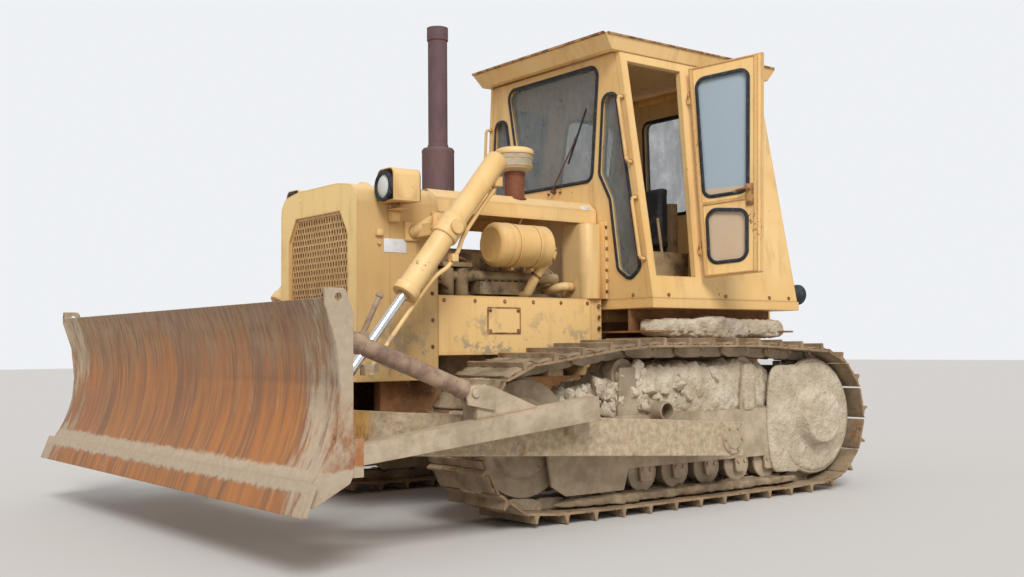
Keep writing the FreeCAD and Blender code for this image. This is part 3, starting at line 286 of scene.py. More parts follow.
def faded_paint(name, wear=1.0, mud_line=1.15, grime_and_shade=1.0, front_light=1.0, side=1.0):
    """Old yellow paint: chalky patches, runs of dirt, rusty edges and splashed mud.

    Front and side paint faces turned forward and sideways brighter or darker: painted light and shade.
    """
    f = Finish(name, shine=0.35)
    patches = f.noise(1.6, 3, shift=(3, 0, 0))
    colour = f.mix(f.step(patches, 0.32, 0.68), YELLOW, YELLOW_PALE)
    # Painted light and shade: faces turned forward or sideways are painted brighter or darker by front and
    # side.
    for axis, share in ((0, front_light), (1, side)):
        if share != 1.0:
            mask = f.step(f.maths("ABSOLUTE", f.facing(axis)), 0.5, 0.9)
            face_light_tone = tuple(min(1.0, (a + b) / 2 * share) for a, b in zip(YELLOW, YELLOW_PALE))
            colour = f.mix(mask * 0.8, colour, face_light_tone)
    runs = f.noise(5.0, 5, 0.6, stretch=(3.2, 3.2, 0.35))
    cloud = f.noise(2.3, 5, 0.65, shift=(0, 7, 0))
    dirty = f.step(runs * 0.6 + cloud * 0.55, 0.56, 0.80) * (0.55 * grime_and_shade)
    colour = f.mix(dirty, colour, YELLOW_DIRTY)
    # Painted shade: corners and nooks are darkened by ambient occlusion, scaled with the grime setting.
    nook_shade = f.step(f.nooks(0.09), 0.25, 0.75) * (0.75 * grime_and_shade)
    colour = f.mix(nook_shade, colour, (0.20, 0.115, 0.055))
    blotch = f.noise(17.0, 6, 0.7)
    edge = f.step(f.edges(0.006) * 3.0 + blotch * 0.55, 0.52, 0.78)
    spots = f.step(f.noise(46.0, 3, 0.6, shift=(5, 1, 0)) * 0.6 + f.noise(3.1, 2, shift=(1, 9, 4)) * 0.5,
                   0.735 - 0.02 * wear, 0.77) * 0.85
    chips = f.top(edge * wear, spots)
    rust = f.mix(f.step(f.noise(60.0, 4), 0.35, 0.65), RUST_DARK, RUST)
    stain = f.step(f.edges(0.03) * 2.2 + f.noise(9.0, 5, 0.6, stretch=(1, 1, 0.3)) * 0.5, 0.46,
                   0.95) * (0.45 * wear)
    colour = f.mix(stain, colour, (0.42, 0.19, 0.07))
    colour = f.mix(chips, colour, rust)
    splash = f.noise(7.5, 7, 0.68, shift=(2, 2, 2))
    low = f.step(mud_line - f.height() + (splash - 0.5) * 0.9, 0.0, 0.35)
    flecks = f.step(splash + f.noise(34.0, 3) * 0.22, 0.62, 0.70)
    colour = f.mix(low * flecks * 0.85, colour, f.mix(f.noise(12.0, 4), MUD_DARK, MUD))
    dust = f.step(f.facing(2) + (cloud - 0.5) * 0.8, 0.35, 0.95) * 0.38
    colour = f.mix(dust, colour, (0.62, 0.50, 0.33))
    relief = f.bump(chips * -0.4 + f.noise(120.0, 2) * 0.12, 0.0012, 0.7)
    relief = f.bump(f.noise(3.0, 2), 0.004, 0.25, relief)
    return f.finish(colour, 0.42 + chips * 0.35 + dirty * 0.3 + dust * 0.4, relief)


def rusty_board(name):
    """Scoured blade steel: bright rust in long runs, old paint above, dried mud at the joint."""
    f = Finish(name, shine=0.4)
    streaks = f.noise(3.2, 6, 0.66, stretch=(0.5, 4.2, 0.42), warp=0.3)
    fine = f.noise(11.0, 5, 0.7, stretch=(0.6, 4.0, 0.28), shift=(0, 3, 0))
    colour = f.mix(f.step(streaks, 0.34, 0.66), RUST_BRIGHT, (0.24, 0.115, 0.06))
    colour = f.mix(f.step(fine, 0.45, 0.72) * 0.7, colour, (0.46, 0.225, 0.075))
    rise = f.height()
    upper = f.step(rise + (f.noise(2.6, 5, 0.65, stretch=(1, 1.6, 0.5)) - 0.5) * 0.85, 0.74, 1.12)
    worn = f.mix(f.step(f.noise(14.0, 6, 0.7, stretch=(1, 2.5, 0.5)), 0.40, 0.66), (0.36, 0.24, 0.135),
                 (0.185, 0.115, 0.07))
    colour = f.mix(upper * 0.85, colour, worn)
    cake = f.noise(4.4, 7, 0.7, stretch=(1, 2.4, 0.55), shift=(6, 0, 0))
    ends = f.step(f.maths("ABSOLUTE", f.along(1)), 1.15, 1.72)
    caked = f.step(cake + ends * 0.22, 0.60, 0.75) * 0.85
    band = f.step(0.055 - f.maths("ABSOLUTE", rise - 0.405) + (f.noise(19.0, 5) - 0.5) * 0.06, 0.0, 0.02)
    caked = f.top(caked, band * 0.92)
    mud = f.mix(f.noise(30.0, 4), (0.38, 0.30, 0.205), (0.58, 0.48, 0.36))
    colour = f.mix(caked, colour, mud)
    edge = f.step(f.edges(0.008) * 3.0 + f.noise(20.0, 4) * 0.4, 0.5, 0.9)
    colour = f.mix(edge * 0.7, colour, (0.33, 0.17, 0.09))
    relief = f.bump(caked * 0.8 + f.noise(70.0, 4) * 0.3, 0.004, 0.8)
    relief = f.bump(f.noise(9.0, 4, stretch=(1, 3, 0.6)), 0.004, 0.35, relief)
    return f.finish(colour, 0.62 + caked * 0.3 - f.step(fine, 0.5, 0.7) * 0.12, relief)


def muddy_steel(name, mud=0.5, rust=RUST, earth=((0.33, 0.26, 0.175), (0.50, 0.405, 0.285))):
    """Steel under a dried skin of tan mud, with rust where the mud has fallen off."""
    f = Finish(name, shine=0.25)
    skin = f.noise(3.4, 8, 0.7, warp=0.4)
    grit = f.noise(26.0, 6, 0.7)
    bare = f.step(skin + (grit - 0.5) * 0.35, 0.55 + 0.22 * mud, 0.62 + 0.22 * mud)
    metal = f.mix(f.step(f.noise(13.0, 5), 0.35, 0.65), RUST_DARK, rust)
    dry = f.mix(f.step(f.noise(7.0, 6, 0.7, shift=(4, 4, 4)), 0.33, 0.67), *earth)
    dry = f.mix(f.step(f.noise(2.1, 4, 0.6, shift=(9, 0, 3)), 0.50, 0.72) * 0.6, dry, MUD_DARK)
    colour = f.mix(bare, dry, metal)
    # Painted shade: nooks are darkened by ambient occlusion.
    nook_shade = f.step(f.nooks(0.12), 0.3, 0.9) * 0.7
    colour = f.mix(nook_shade, colour, (0.13, 0.098, 0.062))
    worn = f.step(f.edges(0.010) * 3.6 + grit * 0.5, 0.55, 0.90)
    colour = f.mix(worn * 0.8, colour, f.mix(f.noise(31.0, 3), rust, (0.56, 0.31, 0.16)))
    relief = f.bump(grit * 0.7 + f.noise(90.0, 3) * 0.25 - bare * 0.35, 0.006, 0.9)
    relief = f.bump(skin, 0.02, 0.5, relief)
    return f.finish(colour, 0.86 - bare * 0.2, relief)


def dried_mud(name):
    """Pale broken earth."""
    f = Finish(name, shine=0.15)
    grit = f.noise(30.0, 8, 0.72)
    lumps = f.noise(6.0, 5, 0.65)
    colour = f.mix(f.step(lumps, 0.35, 0.65), MUD, MUD_PALE)
    colour = f.mix(f.step(grit, 0.50, 0.70) * 0.55, colour, (0.33, 0.25, 0.16))
    # Painted shade: nooks are darkened by ambient occlusion.
    colour = f.mix(f.step(f.nooks(0.05), 0.40, 0.95) * 0.7, colour, (0.16, 0.115, 0.07))
    relief = f.bump(grit + f.cells(55.0) * 0.5, 0.010, 1.0)
    relief = f.bump(lumps, 0.02, 0.6, relief)
    return f.finish(colour, 0.95, relief)


def oily_iron(name):
    """Engine iron: dark grease over remains of paint and dust."""
    f = Finish(name, shine=0.4)
    cloud = f.noise(8.0, 6, 0.65)
    colour = f.mix(f.step(cloud, 0.30, 0.58), (0.10, 0.075, 0.05), (0.46, 0.33, 0.175))
    dust = f.step(f.facing(2) + (cloud - 0.5), 0.3, 0.9) * 0.6
    colour = f.mix(dust, colour, (0.42, 0.33, 0.22))
    # Painted shade: nooks are darkened nearly to black by ambient occlusion.
    colour = f.mix(f.step(f.nooks(0.05), 0.35, 0.9) * 0.8, colour, (0.03, 0.022, 0.016))
    return f.finish(colour, 0.5 + dust * 0.4, f.bump(f.noise(60.0, 5), 0.002, 0.8))


def brown_pipe(name):
    """Purple-brown scale of hot exhaust steel, redder towards its joints."""
    f = Finish(name, shine=0.3)
    cloud = f.noise(6.0, 6, 0.65, stretch=(1, 1, 0.4))
    colour = f.mix(f.step(cloud, 0.3, 0.7), (0.105, 0.062, 0.068), (0.165, 0.098, 0.098))
    red = f.step(f.noise(24.0, 5) * 0.7 + f.edges(0.02) * 1.5, 0.47, 0.75)
    colour = f.mix(red * 0.55, colour, (0.23, 0.085, 0.045))
    return f.finish(colour, 0.72 + red * 0.15, f.bump(f.noise(80.0, 4), 0.0015, 0.6))


def chrome(name):
    """Bright rod with a film of dust and oil."""
    f = Finish(name, metallic=1.0)
    film = f.noise(14.0, 5, stretch=(1, 1, 0.4))
    return f.finish(f.mix(f.step(film, 0.45, 0.8) * 0.5, (0.86, 0.88, 0.90), (0.50, 0.46, 0.40)),
                    0.10 + f.step(film, 0.4, 0.8) * 0.25)


def pane(name, clear, tint=(0.20, 0.25, 0.27), low=None):
    """Window glass with dust in its corners; low is the tint of a lower pane, where there is one."""
    f = Finish(name, roughness=0.06, shine=0.8)
    smear = f.noise(5.0, 6, 0.7, stretch=(1, 1, 0.6))
    dust = f.step(smear + f.nooks(0.12) * 0.35, 0.55, 0.95)
    f.feed(f.shader.inputs["Alpha"], clear + dust * 0.4)
    # Below a height the glass takes the low colour; on the door panes this is part of a painted reflection.
    if low:
        tint = f.mix(f.step(f.height(), 1.93, 1.95), low, tint)
    return f.finish(f.mix(dust * 0.8, tint, (0.50, 0.50, 0.46)), 0.05 + dust * 0.4)


def rubber(name):
    """Weathered black rubber."""
    f = Finish(name, shine=0.3)
    worn = f.noise(40.0, 4)
    return f.finish(f.mix(f.step(worn, 0.45, 0.75) * 0.5, (0.028, 0.033, 0.042), (0.13, 0.13, 0.13)),
                    0.62 + worn * 0.2,
                    f.bump(worn, 0.0008, 0.5))


def plain_vinyl(name):
    """Grained covering of the seat, worn pale at its edges."""
    f = Finish(name, shine=0.4)
    grain = f.cells(420.0)
    worn = f.step(f.noise(9.0, 5), 0.5, 0.75)
    return f.finish(f.mix(worn * 0.5, (0.035, 0.035, 0.038), (0.20, 0.19, 0.17)), 0.5 + worn * 0.25,
                    f.bump(grain, 0.0008, 0.6))


def dark_case(name):
    """Rust-brown castings under the cab, with a little mud left and painted shade in their nooks."""
    f = Finish(name, shine=0.3)
    cloud = f.noise(5.0, 6, 0.68)
    colour = f.mix(f.step(cloud, 0.35, 0.65), (0.19, 0.09, 0.04), (0.38, 0.185, 0.07))
    colour = f.mix(f.step(f.noise(17.0, 5), 0.55, 0.75) * 0.6, colour, (0.42, 0.19, 0.06))
    crust = f.step(f.noise(8.0, 7, 0.7, shift=(1, 5, 2)) + f.facing(2) * 0.12, 0.58, 0.66)
    colour = f.mix(crust * 0.9, colour, f.mix(f.noise(22.0, 4), (0.30, 0.23, 0.15), (0.50, 0.41, 0.29)))
    # Painted shade: nooks are darkened by ambient occlusion.
    colour = f.mix(f.step(f.nooks(0.10), 0.3, 0.9) * 0.7, colour, (0.045, 0.028, 0.016))
    return f.finish(colour, 0.8, f.bump(crust * 0.8 + f.noise(50.0, 4) * 0.4, 0.005, 0.9))


def worn_beams(name):
    """Push frame: orange-yellow paint and rust inside, a skin of mud on the outer faces."""
    f = Finish(name, shine=0.3)
    cloud = f.noise(3.5, 6, 0.65, stretch=(1, 1, 0.5))
    colour = f.mix(f.step(cloud, 0.35, 0.65), (0.52, 0.27, 0.075), (0.72, 0.43, 0.13))
    runs = f.step(f.noise(9.0, 6, 0.7, stretch=(1.6, 1.6, 0.35), shift=(2, 0, 0)), 0.47, 0.66)
    colour = f.mix(runs * 0.8, colour, f.mix(f.noise(30.0, 4), RUST_DARK, RUST))
    outer = f.step(f.maths("ABSOLUTE", f.along(1)) + (cloud - 0.5) * 0.08, 1.21, 1.26)
    top = f.step(f.facing(2) + (cloud - 0.5) * 0.8, 0.55, 0.95) * 0.7
    skin = f.top(outer * f.step(f.noise(6.0, 7, 0.7, shift=(0, 0, 8)), 0.30, 0.42), top)
    mud = f.mix(f.step(f.noise(24.0, 6, 0.7), 0.35, 0.68), (0.36, 0.28, 0.185), (0.58, 0.47, 0.33))
    colour = f.mix(skin * 0.92, colour, mud)
    worn = f.step(f.edges(0.008) * 3.0 + f.noise(25.0, 5) * 0.45, 0.55, 0.9)
    colour = f.mix(worn * 0.7, colour, (0.33, 0.17, 0.085))
    return f.finish(colour, 0.72 + skin * 0.2, f.bump(skin * 0.8 + f.noise(60.0, 5) * 0.5, 0.006, 0.9))


def rusty_paint(name):
    """Paint gone mostly to rust, as on latches, lips and clamps."""
    f = Finish(name, shine=0.3)
    cloud = f.noise(14.0, 6, 0.7)
    rust = f.mix(f.step(f.noise(40.0, 4), 0.35, 0.65), RUST_DARK, RUST)
    colour = f.mix(f.step(cloud + f.edges(0.006) * 1.5, 0.42, 0.60), YELLOW_DIRTY, rust)
    return f.finish(colour, 0.75, f.bump(cloud, 0.002, 0.7))


def red_brown(name, tones=((0.16, 0.055, 0.032), (0.25, 0.095, 0.05))):
    """Matt red-brown primer gone rusty."""
    f = Finish(name, shine=0.25)
    cloud = f.noise(9.0, 6, 0.7)
    colour = f.mix(f.step(cloud, 0.35, 0.65), *tones)
    return f.finish(colour, 0.8, f.bump(f.noise(90.0, 4), 0.001, 0.5))


def pale_plastic(name):
    """Yellowed clear bowl, dusty inside."""
    f = Finish(name, shine=0.5)
    cloud = f.noise(7.0, 5, 0.6)
    low = f.step(2.09 - f.height() + (cloud - 0.5) * 0.06, 0.0, 0.05)
    colour = f.mix(f.step(cloud, 0.35, 0.7), (0.56, 0.50, 0.38), (0.38, 0.31, 0.20))
    return f.finish(f.mix(low * 0.6, colour, (0.42, 0.30, 0.15)), 0.25 + low * 0.3)


def white_enamel(name):
    """White sheet, dusty and stained at its edges."""
    f = Finish(name, shine=0.4)
    cloud = f.noise(20.0, 5, 0.65)
    colour = f.mix(f.step(cloud + f.edges(0.004), 0.5, 0.8) * 0.6, (0.78, 0.80, 0.82), (0.45, 0.38, 0.28))
    return f.finish(colour, 0.4 + cloud * 0.2)


def lens_glass(name):
    """Pale ribbed lens over a bright reflector."""
    f = Finish(name, shine=0.8)
    ribs = f.node("ShaderNodeTexWave", 1, {"bands_direction": "Y"}, {"Vector": f.place, "Scale": 28.0})
    colour = f.mix(f.step(f.noise(16.0, 4), 0.45, 0.8) * 0.5, (0.72, 0.74, 0.72), (0.42, 0.38, 0.30))
    return f.finish(colour, 0.12 + ribs * 0.1, f.bump(ribs, 0.002, 0.6))


paint = faded_paint("faded_paint")
# Nose, panel and door paint are painted brighter or darker on faces turned forward and sideways: painted
# light and shade.
nose_paint = faded_paint("nose_paint", wear=1.1, grime_and_shade=1.2, front_light=1.30, side=0.70)
panel_paint = faded_paint("panel_paint", grime_and_shade=0.7, side=1.12)
door_paint = faded_paint("door_paint", wear=2.6, mud_line=1.0, front_light=1.15)
case_rust = dark_case("case_rust")
beam_paint = worn_beams("beam_paint")
board = rusty_board("rusty_board")
mud_steel = muddy_steel("muddy_steel")
shoe_steel = muddy_steel("shoe_steel", mud=0.1, rust=(0.36, 0.15, 0.055),
                         earth=((0.21, 0.15, 0.09), (0.37, 0.275, 0.175)))
track_mud = muddy_steel("track_mud", mud=1.2, earth=((0.20, 0.145, 0.088), (0.37, 0.28, 0.18)))
frame_earth = muddy_steel("frame_earth", mud=0.75, earth=((0.38, 0.30, 0.20), (0.56, 0.45, 0.32)))
clods = dried_mud("dried_mud")
iron = oily_iron("oily_iron")
pipe_rust = brown_pipe("brown_pipe")
bright_rod = chrome("bright_rod")
cab_pane = pane("cab_pane", clear=0.24)
# The door panes are nearly opaque, painted with a reflection: pale blue above a height and orange below it.
door_pane = pane("door_pane", tint=(0.47, 0.58, 0.66), clear=0.78, low=(0.80, 0.60, 0.40))
seal = rubber("rubber_seal")
covering = plain_vinyl("seat_covering")
rusty_trim = rusty_paint("rusty_trim")
roof_edge = rusty_paint("roof_edge")
red_pipe = red_brown("red_brown_pipe")
tube_rust = red_brown("tube_rust", ((0.23, 0.145, 0.105), (0.42, 0.30, 0.20)))
bowl_plastic = pale_plastic("bowl_plastic")
white_plate = white_enamel("white_enamel")
lamp_lens = lens_glass("lamp_lens")
# Hose and grille paint carry heavier dirt runs and deeper painted shade in their nooks.
hose_paint = faded_paint("hose_paint", wear=0.7, mud_line=0.9, grime_and_shade=1.6)
grille_paint = faded_paint("grille_paint", wear=1.6, mud_line=1.35, grime_and_shade=1.7)

FINISHES = {
    "faded_yellow": paint,
    "rusty_blade": board,
    "muddy_steel": mud_steel,
    "oily_iron": iron,
    "brown_pipe": pipe_rust,
    "chrome_rod": bright_rod,
    "cab_pane": cab_pane,
    "seat_cover": covering,
}
OWN_FINISH = {"push_frame": beam_paint, "track_left": shoe_steel, "track_right": shoe_steel,
              "main_case": case_rust, "fenders": case_rust, "belly_guard": case_rust, "struts": shoe_steel,
              "nose": nose_paint, "side_panels": panel_paint, "door_left": door_paint,
              "door_right": door_paint, "door_glass_left": door_pane, "door_glass_right": door_pane,
              "final_drives": frame_earth}
EDGE_ROUND = {"blade": 0.004, "track_frame_left": 0.004, "track_frame_right": 0.004, "push_frame": 0.006,
              "nose": 0.003, "cab_front": 0.003, "cab_left": 0.003, "cab_right": 0.003, "cab_rear": 0.003,
              "cab_floor": 0.003, "cab_roof": 0.004, "fuel_tank": 0.004, "engine": 0.004, "struts": 0.005,
              "final_drives": 0.004, "cutting_edge": 0.003, "main_case": 0.005, "lift_brackets": 0.003,
              "drawbar": 0.005, "seat_frame": 0.003, "controls": 0.003, "radiator": 0.003, "sprockets": 0.003,
              "hydraulic_tank": 0.002, "door_left": 0.003, "door_right": 0.003}


def dress_nodes():
    """Give each CAD node the finish of its slot, with soft edges on the plated ones."""
    slots = {entry["node"]: entry["material_slot"] for entry in frame["record"]["subparts"]}
    for name, item in frame["nodes"].items():
        item.data.materials.clear()
        item.data.materials.append(OWN_FINISH.get(name, FINISHES[slots[name]]))
        if name in EDGE_ROUND:
            item.modifiers.new("merge", "WELD").merge_threshold = 0.0001
            soft = item.modifiers.new("soft_edges", "BEVEL")
            soft.width = EDGE_ROUND[name]
            soft.segments = 2
            soft.limit_method = "ANGLE"
            soft.angle_limit = math.radians(33)
            soft.use_clamp_overlap = False
            soft.harden_normals = True


place_camera()
light_scene()
dress_nodes()

# Making pieces.

def skin(work, rings):
    """Close a row of rings with as many points each into a solid."""
    count = len(rings[0])
    for first, second in zip(rings, rings[1:]):
        for i in range(count):
            j = (i + 1) % count
            work.faces.new((first[i], first[j], second[j], second[i]))
    work.faces.new(rings[0][::-1])
    work.faces.new(rings[-1])


def finished(name, work, sharp=None):
    """A smooth-shaded mesh from its working copy, with edges over an angle kept sharp."""
    made = bpy.data.meshes.new(name)
    work.to_mesh(made)
    work.free()
    made.shade_smooth()
    if sharp:
        made.set_sharp_from_angle(angle=math.radians(sharp))
    return made


def add_piece(name, mesh, material, body="tractor"):
    """Show a finished mesh as a piece of a body."""
    mesh.materials.clear()
    mesh.materials.append(material)
    item = bpy.data.objects.new(name, mesh)
    bpy.context.scene.collection.objects.link(item)
    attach(item, body)
    return item


class Form:
    """A mesh built up from simple solids, in the machine's frame."""

    def __init__(self, name):
        self.name = name
        self.work = bmesh.new()

    def block(self, low, high):
        """A block between two corners."""
        low, high = Vector(low), Vector(high)
        place = Matrix.Translation((low + high) / 2)
        bmesh.ops.create_cube(self.work, size=1, matrix=place @ Matrix.Diagonal((*(high - low), 1)))

    def lathe(self, start, along, profile, sides=32):
        """A turned solid: (distance, radius) steps from a start along a direction."""
        turn = Vector(along).to_track_quat("Z", "Y").to_matrix()
        rings = []
        for distance, radius in profile:
            ring = []
            for i in range(sides):
                angle = math.tau * i / sides
                spot = Vector((math.cos(angle) * radius, math.sin(angle) * radius, distance))
                ring.append(self.work.verts.new(Vector(start) + turn @ spot))
            rings.append(ring)
        skin(self.work, rings)

    def rod(self, start, end, radius, sides=12):
        """A round bar between two points."""
        run = Vector(end) - Vector(start)
        self.lathe(start, run, [(0, radius), (run.length, radius)], sides)

    def plate(self, outline, depth):
        """A plate from its outline in space and the way it is thick."""
        near = [self.work.verts.new(Vector(point)) for point in outline]
        far = [self.work.verts.new(Vector(point) + Vector(depth)) for point in outline]
        count = len(near)
        self.work.faces.new(near[::-1])
        self.work.faces.new(far)
        for i in range(count):
            j = (i + 1) % count
            self.work.faces.new((near[i], near[j], far[j], far[i]))

    def frame(self, outer, inner, depth):
        """A flat ring between two outlines with as many points each."""
        rings = []
        for ring in (outer, inner):
            rings.append([self.work.verts.new(Vector(point)) for point in ring])
            rings.append([self.work.verts.new(Vector(point) + Vector(depth)) for point in ring])
        near_out, far_out, near_in, far_in = rings
        count = len(near_out)
        for i in range(count):
            j = (i + 1) % count
            for a, b in ((near_in, near_out), (far_out, far_in), (near_out, far_out), (far_in, near_in)):
                self.work.faces.new((a[i], a[j], b[j], b[i]))

    def pipe(self, route, radius, sides=12, end_radius=None):
        """A round pipe through a row of points."""
        points = [Vector(point) for point in route]
        up = Vector((0.01, 0.02, 1))
        rings = []
        for i, point in enumerate(points):
            ahead = (points[min(i + 1, len(points) - 1)] - points[max(i - 1, 0)]).normalized()
            side = ahead.cross(up).normalized()
            top = side.cross(ahead)
            share = i / (len(points) - 1)
            reach = radius + ((end_radius or radius) - radius) * share
            ring = []
            for k in range(sides):
                angle = math.tau * k / sides
                ring.append(self.work.verts.new(point
                                                + (side * math.cos(angle) + top * math.sin(angle)) * reach))
            rings.append(ring)
        skin(self.work, rings)

    def mirror(self):
        """Repeat everything on the machine's other side."""
        twin = bmesh.ops.duplicate(self.work,
                                   geom=self.work.verts[:] + self.work.edges[:] + self.work.faces[:])
        verts = [part for part in twin["geom"] if isinstance(part, bmesh.types.BMVert)]
        bmesh.ops.transform(self.work, matrix=Matrix.Diagonal((1, -1, 1, 1)), verts=verts)

    def mesh(self, bevel=0.0, smooth=35.0, segments=2):
        """The finished mesh, its sharp edges rounded and its faces shaded smooth between them."""
        bmesh.ops.recalc_face_normals(self.work, faces=self.work.faces)
        limit = math.radians(smooth)
        if bevel:
            sharp = [edge for edge in self.work.edges if edge.is_manifold and edge.calc_face_angle(0) > limit]
            bmesh.ops.bevel(self.work, geom=sharp, offset=bevel, segments=segments, affect="EDGES",
                            clamp_overlap=True, profile=0.6)
        return finished(self.name, self.work, smooth)


def curve(*points, steps=6):
    """Points of a smooth line through the given ones."""
    points = [Vector(point) for point in points]
    ends = [points[0] * 2 - points[1], *points, points[-1] * 2 - points[-2]]
    line = []
    for a, b, c, d in zip(ends, ends[1:], ends[2:], ends[3:]):
        for i in range(steps):
            t = i / steps
            line.append(b + (c - a) * (t / 2) + (a * 2 - b * 5 + c * 4 - d) * (t * t / 2)
                        + (b * 3 - a - c * 3 + d) * (t ** 3 / 2))
    return [*line, points[-1]]


def rounded(corners, radius, steps=5):
    """A flat outline in two directions with each corner rounded by short steps."""
    corners = [Vector(corner) for corner in corners]
    count = len(corners)
    outline = []
    for i, corner in enumerate(corners):
        before = (corners[i - 1] - corner).normalized()
        after = (corners[(i + 1) % count] - corner).normalized()
        half = before.angle(after) / 2
        reach = radius / math.tan(half)
        start, end = corner + before * reach, corner + after * reach
        centre = corner + (before + after).normalized() * (radius / math.sin(half))
        for k in range(steps + 1):
            spot = start.lerp(end, k / steps) - centre
            outline.append(centre + spot.normalized() * radius)
    return outline


def grown(outline, distance):
    """A flat outline moved outward, point by point."""
    count = len(outline)
    area = sum(outline[i - 1].cross(outline[i]) for i in range(count))
    side = 1 if area > 0 else -1
    moved = []
    for i, point in enumerate(outline):
        along = (outline[(i + 1) % count] - outline[i - 1]).normalized()
        moved.append(point + Vector((along.y, -along.x)) * (distance * side))
    return moved


# Repeats: one geometry node group stands a small piece at marked spots.

def repeat_group():
    """Stand a piece on each point, turned and sized by the point and by chance."""
    group = bpy.data.node_groups.new("stand_pieces", "GeometryNodeTree")
    face = group.interface
    face.new_socket("Geometry", in_out="OUTPUT", socket_type="NodeSocketGeometry")
    face.new_socket("Spots", in_out="INPUT", socket_type="NodeSocketGeometry")
    face.new_socket("Piece", in_out="INPUT", socket_type="NodeSocketObject")
    face.new_socket("Finish", in_out="INPUT", socket_type="NodeSocketMaterial")
    face.new_socket("Turn by chance", in_out="INPUT", socket_type="NodeSocketVector")
    face.new_socket("Smallest", in_out="INPUT", socket_type="NodeSocketFloat")
    face.new_socket("Seed", in_out="INPUT", socket_type="NodeSocketInt")

    def node(kind, **settings):
        made = group.nodes.new(kind)
        for name, value in settings.items():
            setattr(made, name, value)
        return made

    given = node("NodeGroupInput")
    done = node("NodeGroupOutput")
    piece = node("GeometryNodeObjectInfo")
    turn = node("GeometryNodeInputNamedAttribute", data_type="FLOAT_VECTOR")
    turn.inputs["Name"].default_value = "turn"
    size = node("GeometryNodeInputNamedAttribute", data_type="FLOAT_VECTOR")
    size.inputs["Name"].default_value = "size"
    low = node("ShaderNodeVectorMath", operation="SCALE")
    low.inputs["Scale"].default_value = -1.0
    chance = node("FunctionNodeRandomValue", data_type="FLOAT_VECTOR")
    swell = node("FunctionNodeRandomValue", data_type="FLOAT")
    swell.inputs[3].default_value = 1.0
    total = node("ShaderNodeVectorMath", operation="ADD")
    scaled = node("ShaderNodeVectorMath", operation="SCALE")
    turned = node("FunctionNodeEulerToRotation")
    stand = node("GeometryNodeInstanceOnPoints")
    real = node("GeometryNodeRealizeInstances")
    cover = node("GeometryNodeSetMaterial")
    for start, end in (
        (given.outputs["Piece"], piece.inputs["Object"]),
        (given.outputs["Turn by chance"], low.inputs[0]),
        (low.outputs[0], chance.inputs[0]),
        (given.outputs["Turn by chance"], chance.inputs[1]),
        (given.outputs["Seed"], chance.inputs["Seed"]),
        (turn.outputs[0], total.inputs[0]),
        (chance.outputs[0], total.inputs[1]),
        (total.outputs[0], turned.inputs[0]),
        (given.outputs["Smallest"], swell.inputs[2]),
        (given.outputs["Seed"], swell.inputs["Seed"]),
        (size.outputs[0], scaled.inputs[0]),
        (swell.outputs[1], scaled.inputs["Scale"]),
        (given.outputs["Spots"], stand.inputs["Points"]),
        (piece.outputs["Geometry"], stand.inputs["Instance"]),
        (turned.outputs[0], stand.inputs["Rotation"]),
        (scaled.outputs[0], stand.inputs["Scale"]),
        (stand.outputs[0], real.inputs[0]),
        (real.outputs[0], cover.inputs[0]),
        (given.outputs["Finish"], cover.inputs["Material"]),
        (cover.outputs[0], done.inputs[0]),
    ):
        group.links.new(start, end)
    return group


repeats = repeat_group()


def repeat(name, piece, spots, material, jitter=(0, 0, 0), smallest=1.0, seed=1):
    """Stand copies of a small mesh at spots of (place, turn, size) as one piece."""
    points = bpy.data.meshes.new(name + "_spots")
    points.from_pydata([spot[0] for spot in spots], [], [])
    for label, index in (("turn", 1), ("size", 2)):
        layer = points.attributes.new(label, "FLOAT_VECTOR", "POINT")
        for value, spot in zip(layer.data, spots):
            value.vector = spot[index]
    pattern = bpy.data.objects.new(name + "_pattern", piece)
    carrier = bpy.data.objects.new(name + "_carrier", points)
    for item in (pattern, carrier):
        bpy.context.scene.collection.objects.link(item)
    modifier = carrier.modifiers.new("stand", "NODES")
    modifier.node_group = repeats
    values = {"Piece": pattern, "Finish": material, "Turn by chance": jitter, "Smallest": smallest,
              "Seed": seed}
    for socket in repeats.interface.items_tree:
        if socket.in_out == "INPUT" and socket.name in values:
            modifier[socket.identifier] = values[socket.name]
    bpy.context.view_layer.update()
    shape = carrier.evaluated_get(bpy.context.evaluated_depsgraph_get())
    mesh = bpy.data.meshes.new_from_object(shape)
    mesh.name = name
    for item in (pattern, carrier):
        bpy.data.objects.remove(item)
    return add_piece(name, mesh, material)


SAME = (1.0, 1.0, 1.0)


# Tracks.

TRACK_Y = 0.94
PITCH = 0.203
ROLLER_PITCH = 0.271
ROLLER_X = [0.590 - ROLLER_PITCH * i for i in range(6)]
ROLLER_Z = 0.217
CARRIER_X = (0.460, -0.570)
CARRIER_Z = 0.783
IDLER = (1.170, 0.455)
SPROCKET = (-1.188, 0.480)
PIVOT = (-0.130, 0.400)
# centre and pin-line radius of what the track runs round, from the rear roller on
WHEELS = [(ROLLER_X[-1], ROLLER_Z, 0.150), (ROLLER_X[0], ROLLER_Z, 0.150), (*IDLER, 0.3769),
          (CARRIER_X[0], CARRIER_Z, 0.140), (CARRIER_X[1], CARRIER_Z, 0.140), (*SPROCKET, 0.408)]


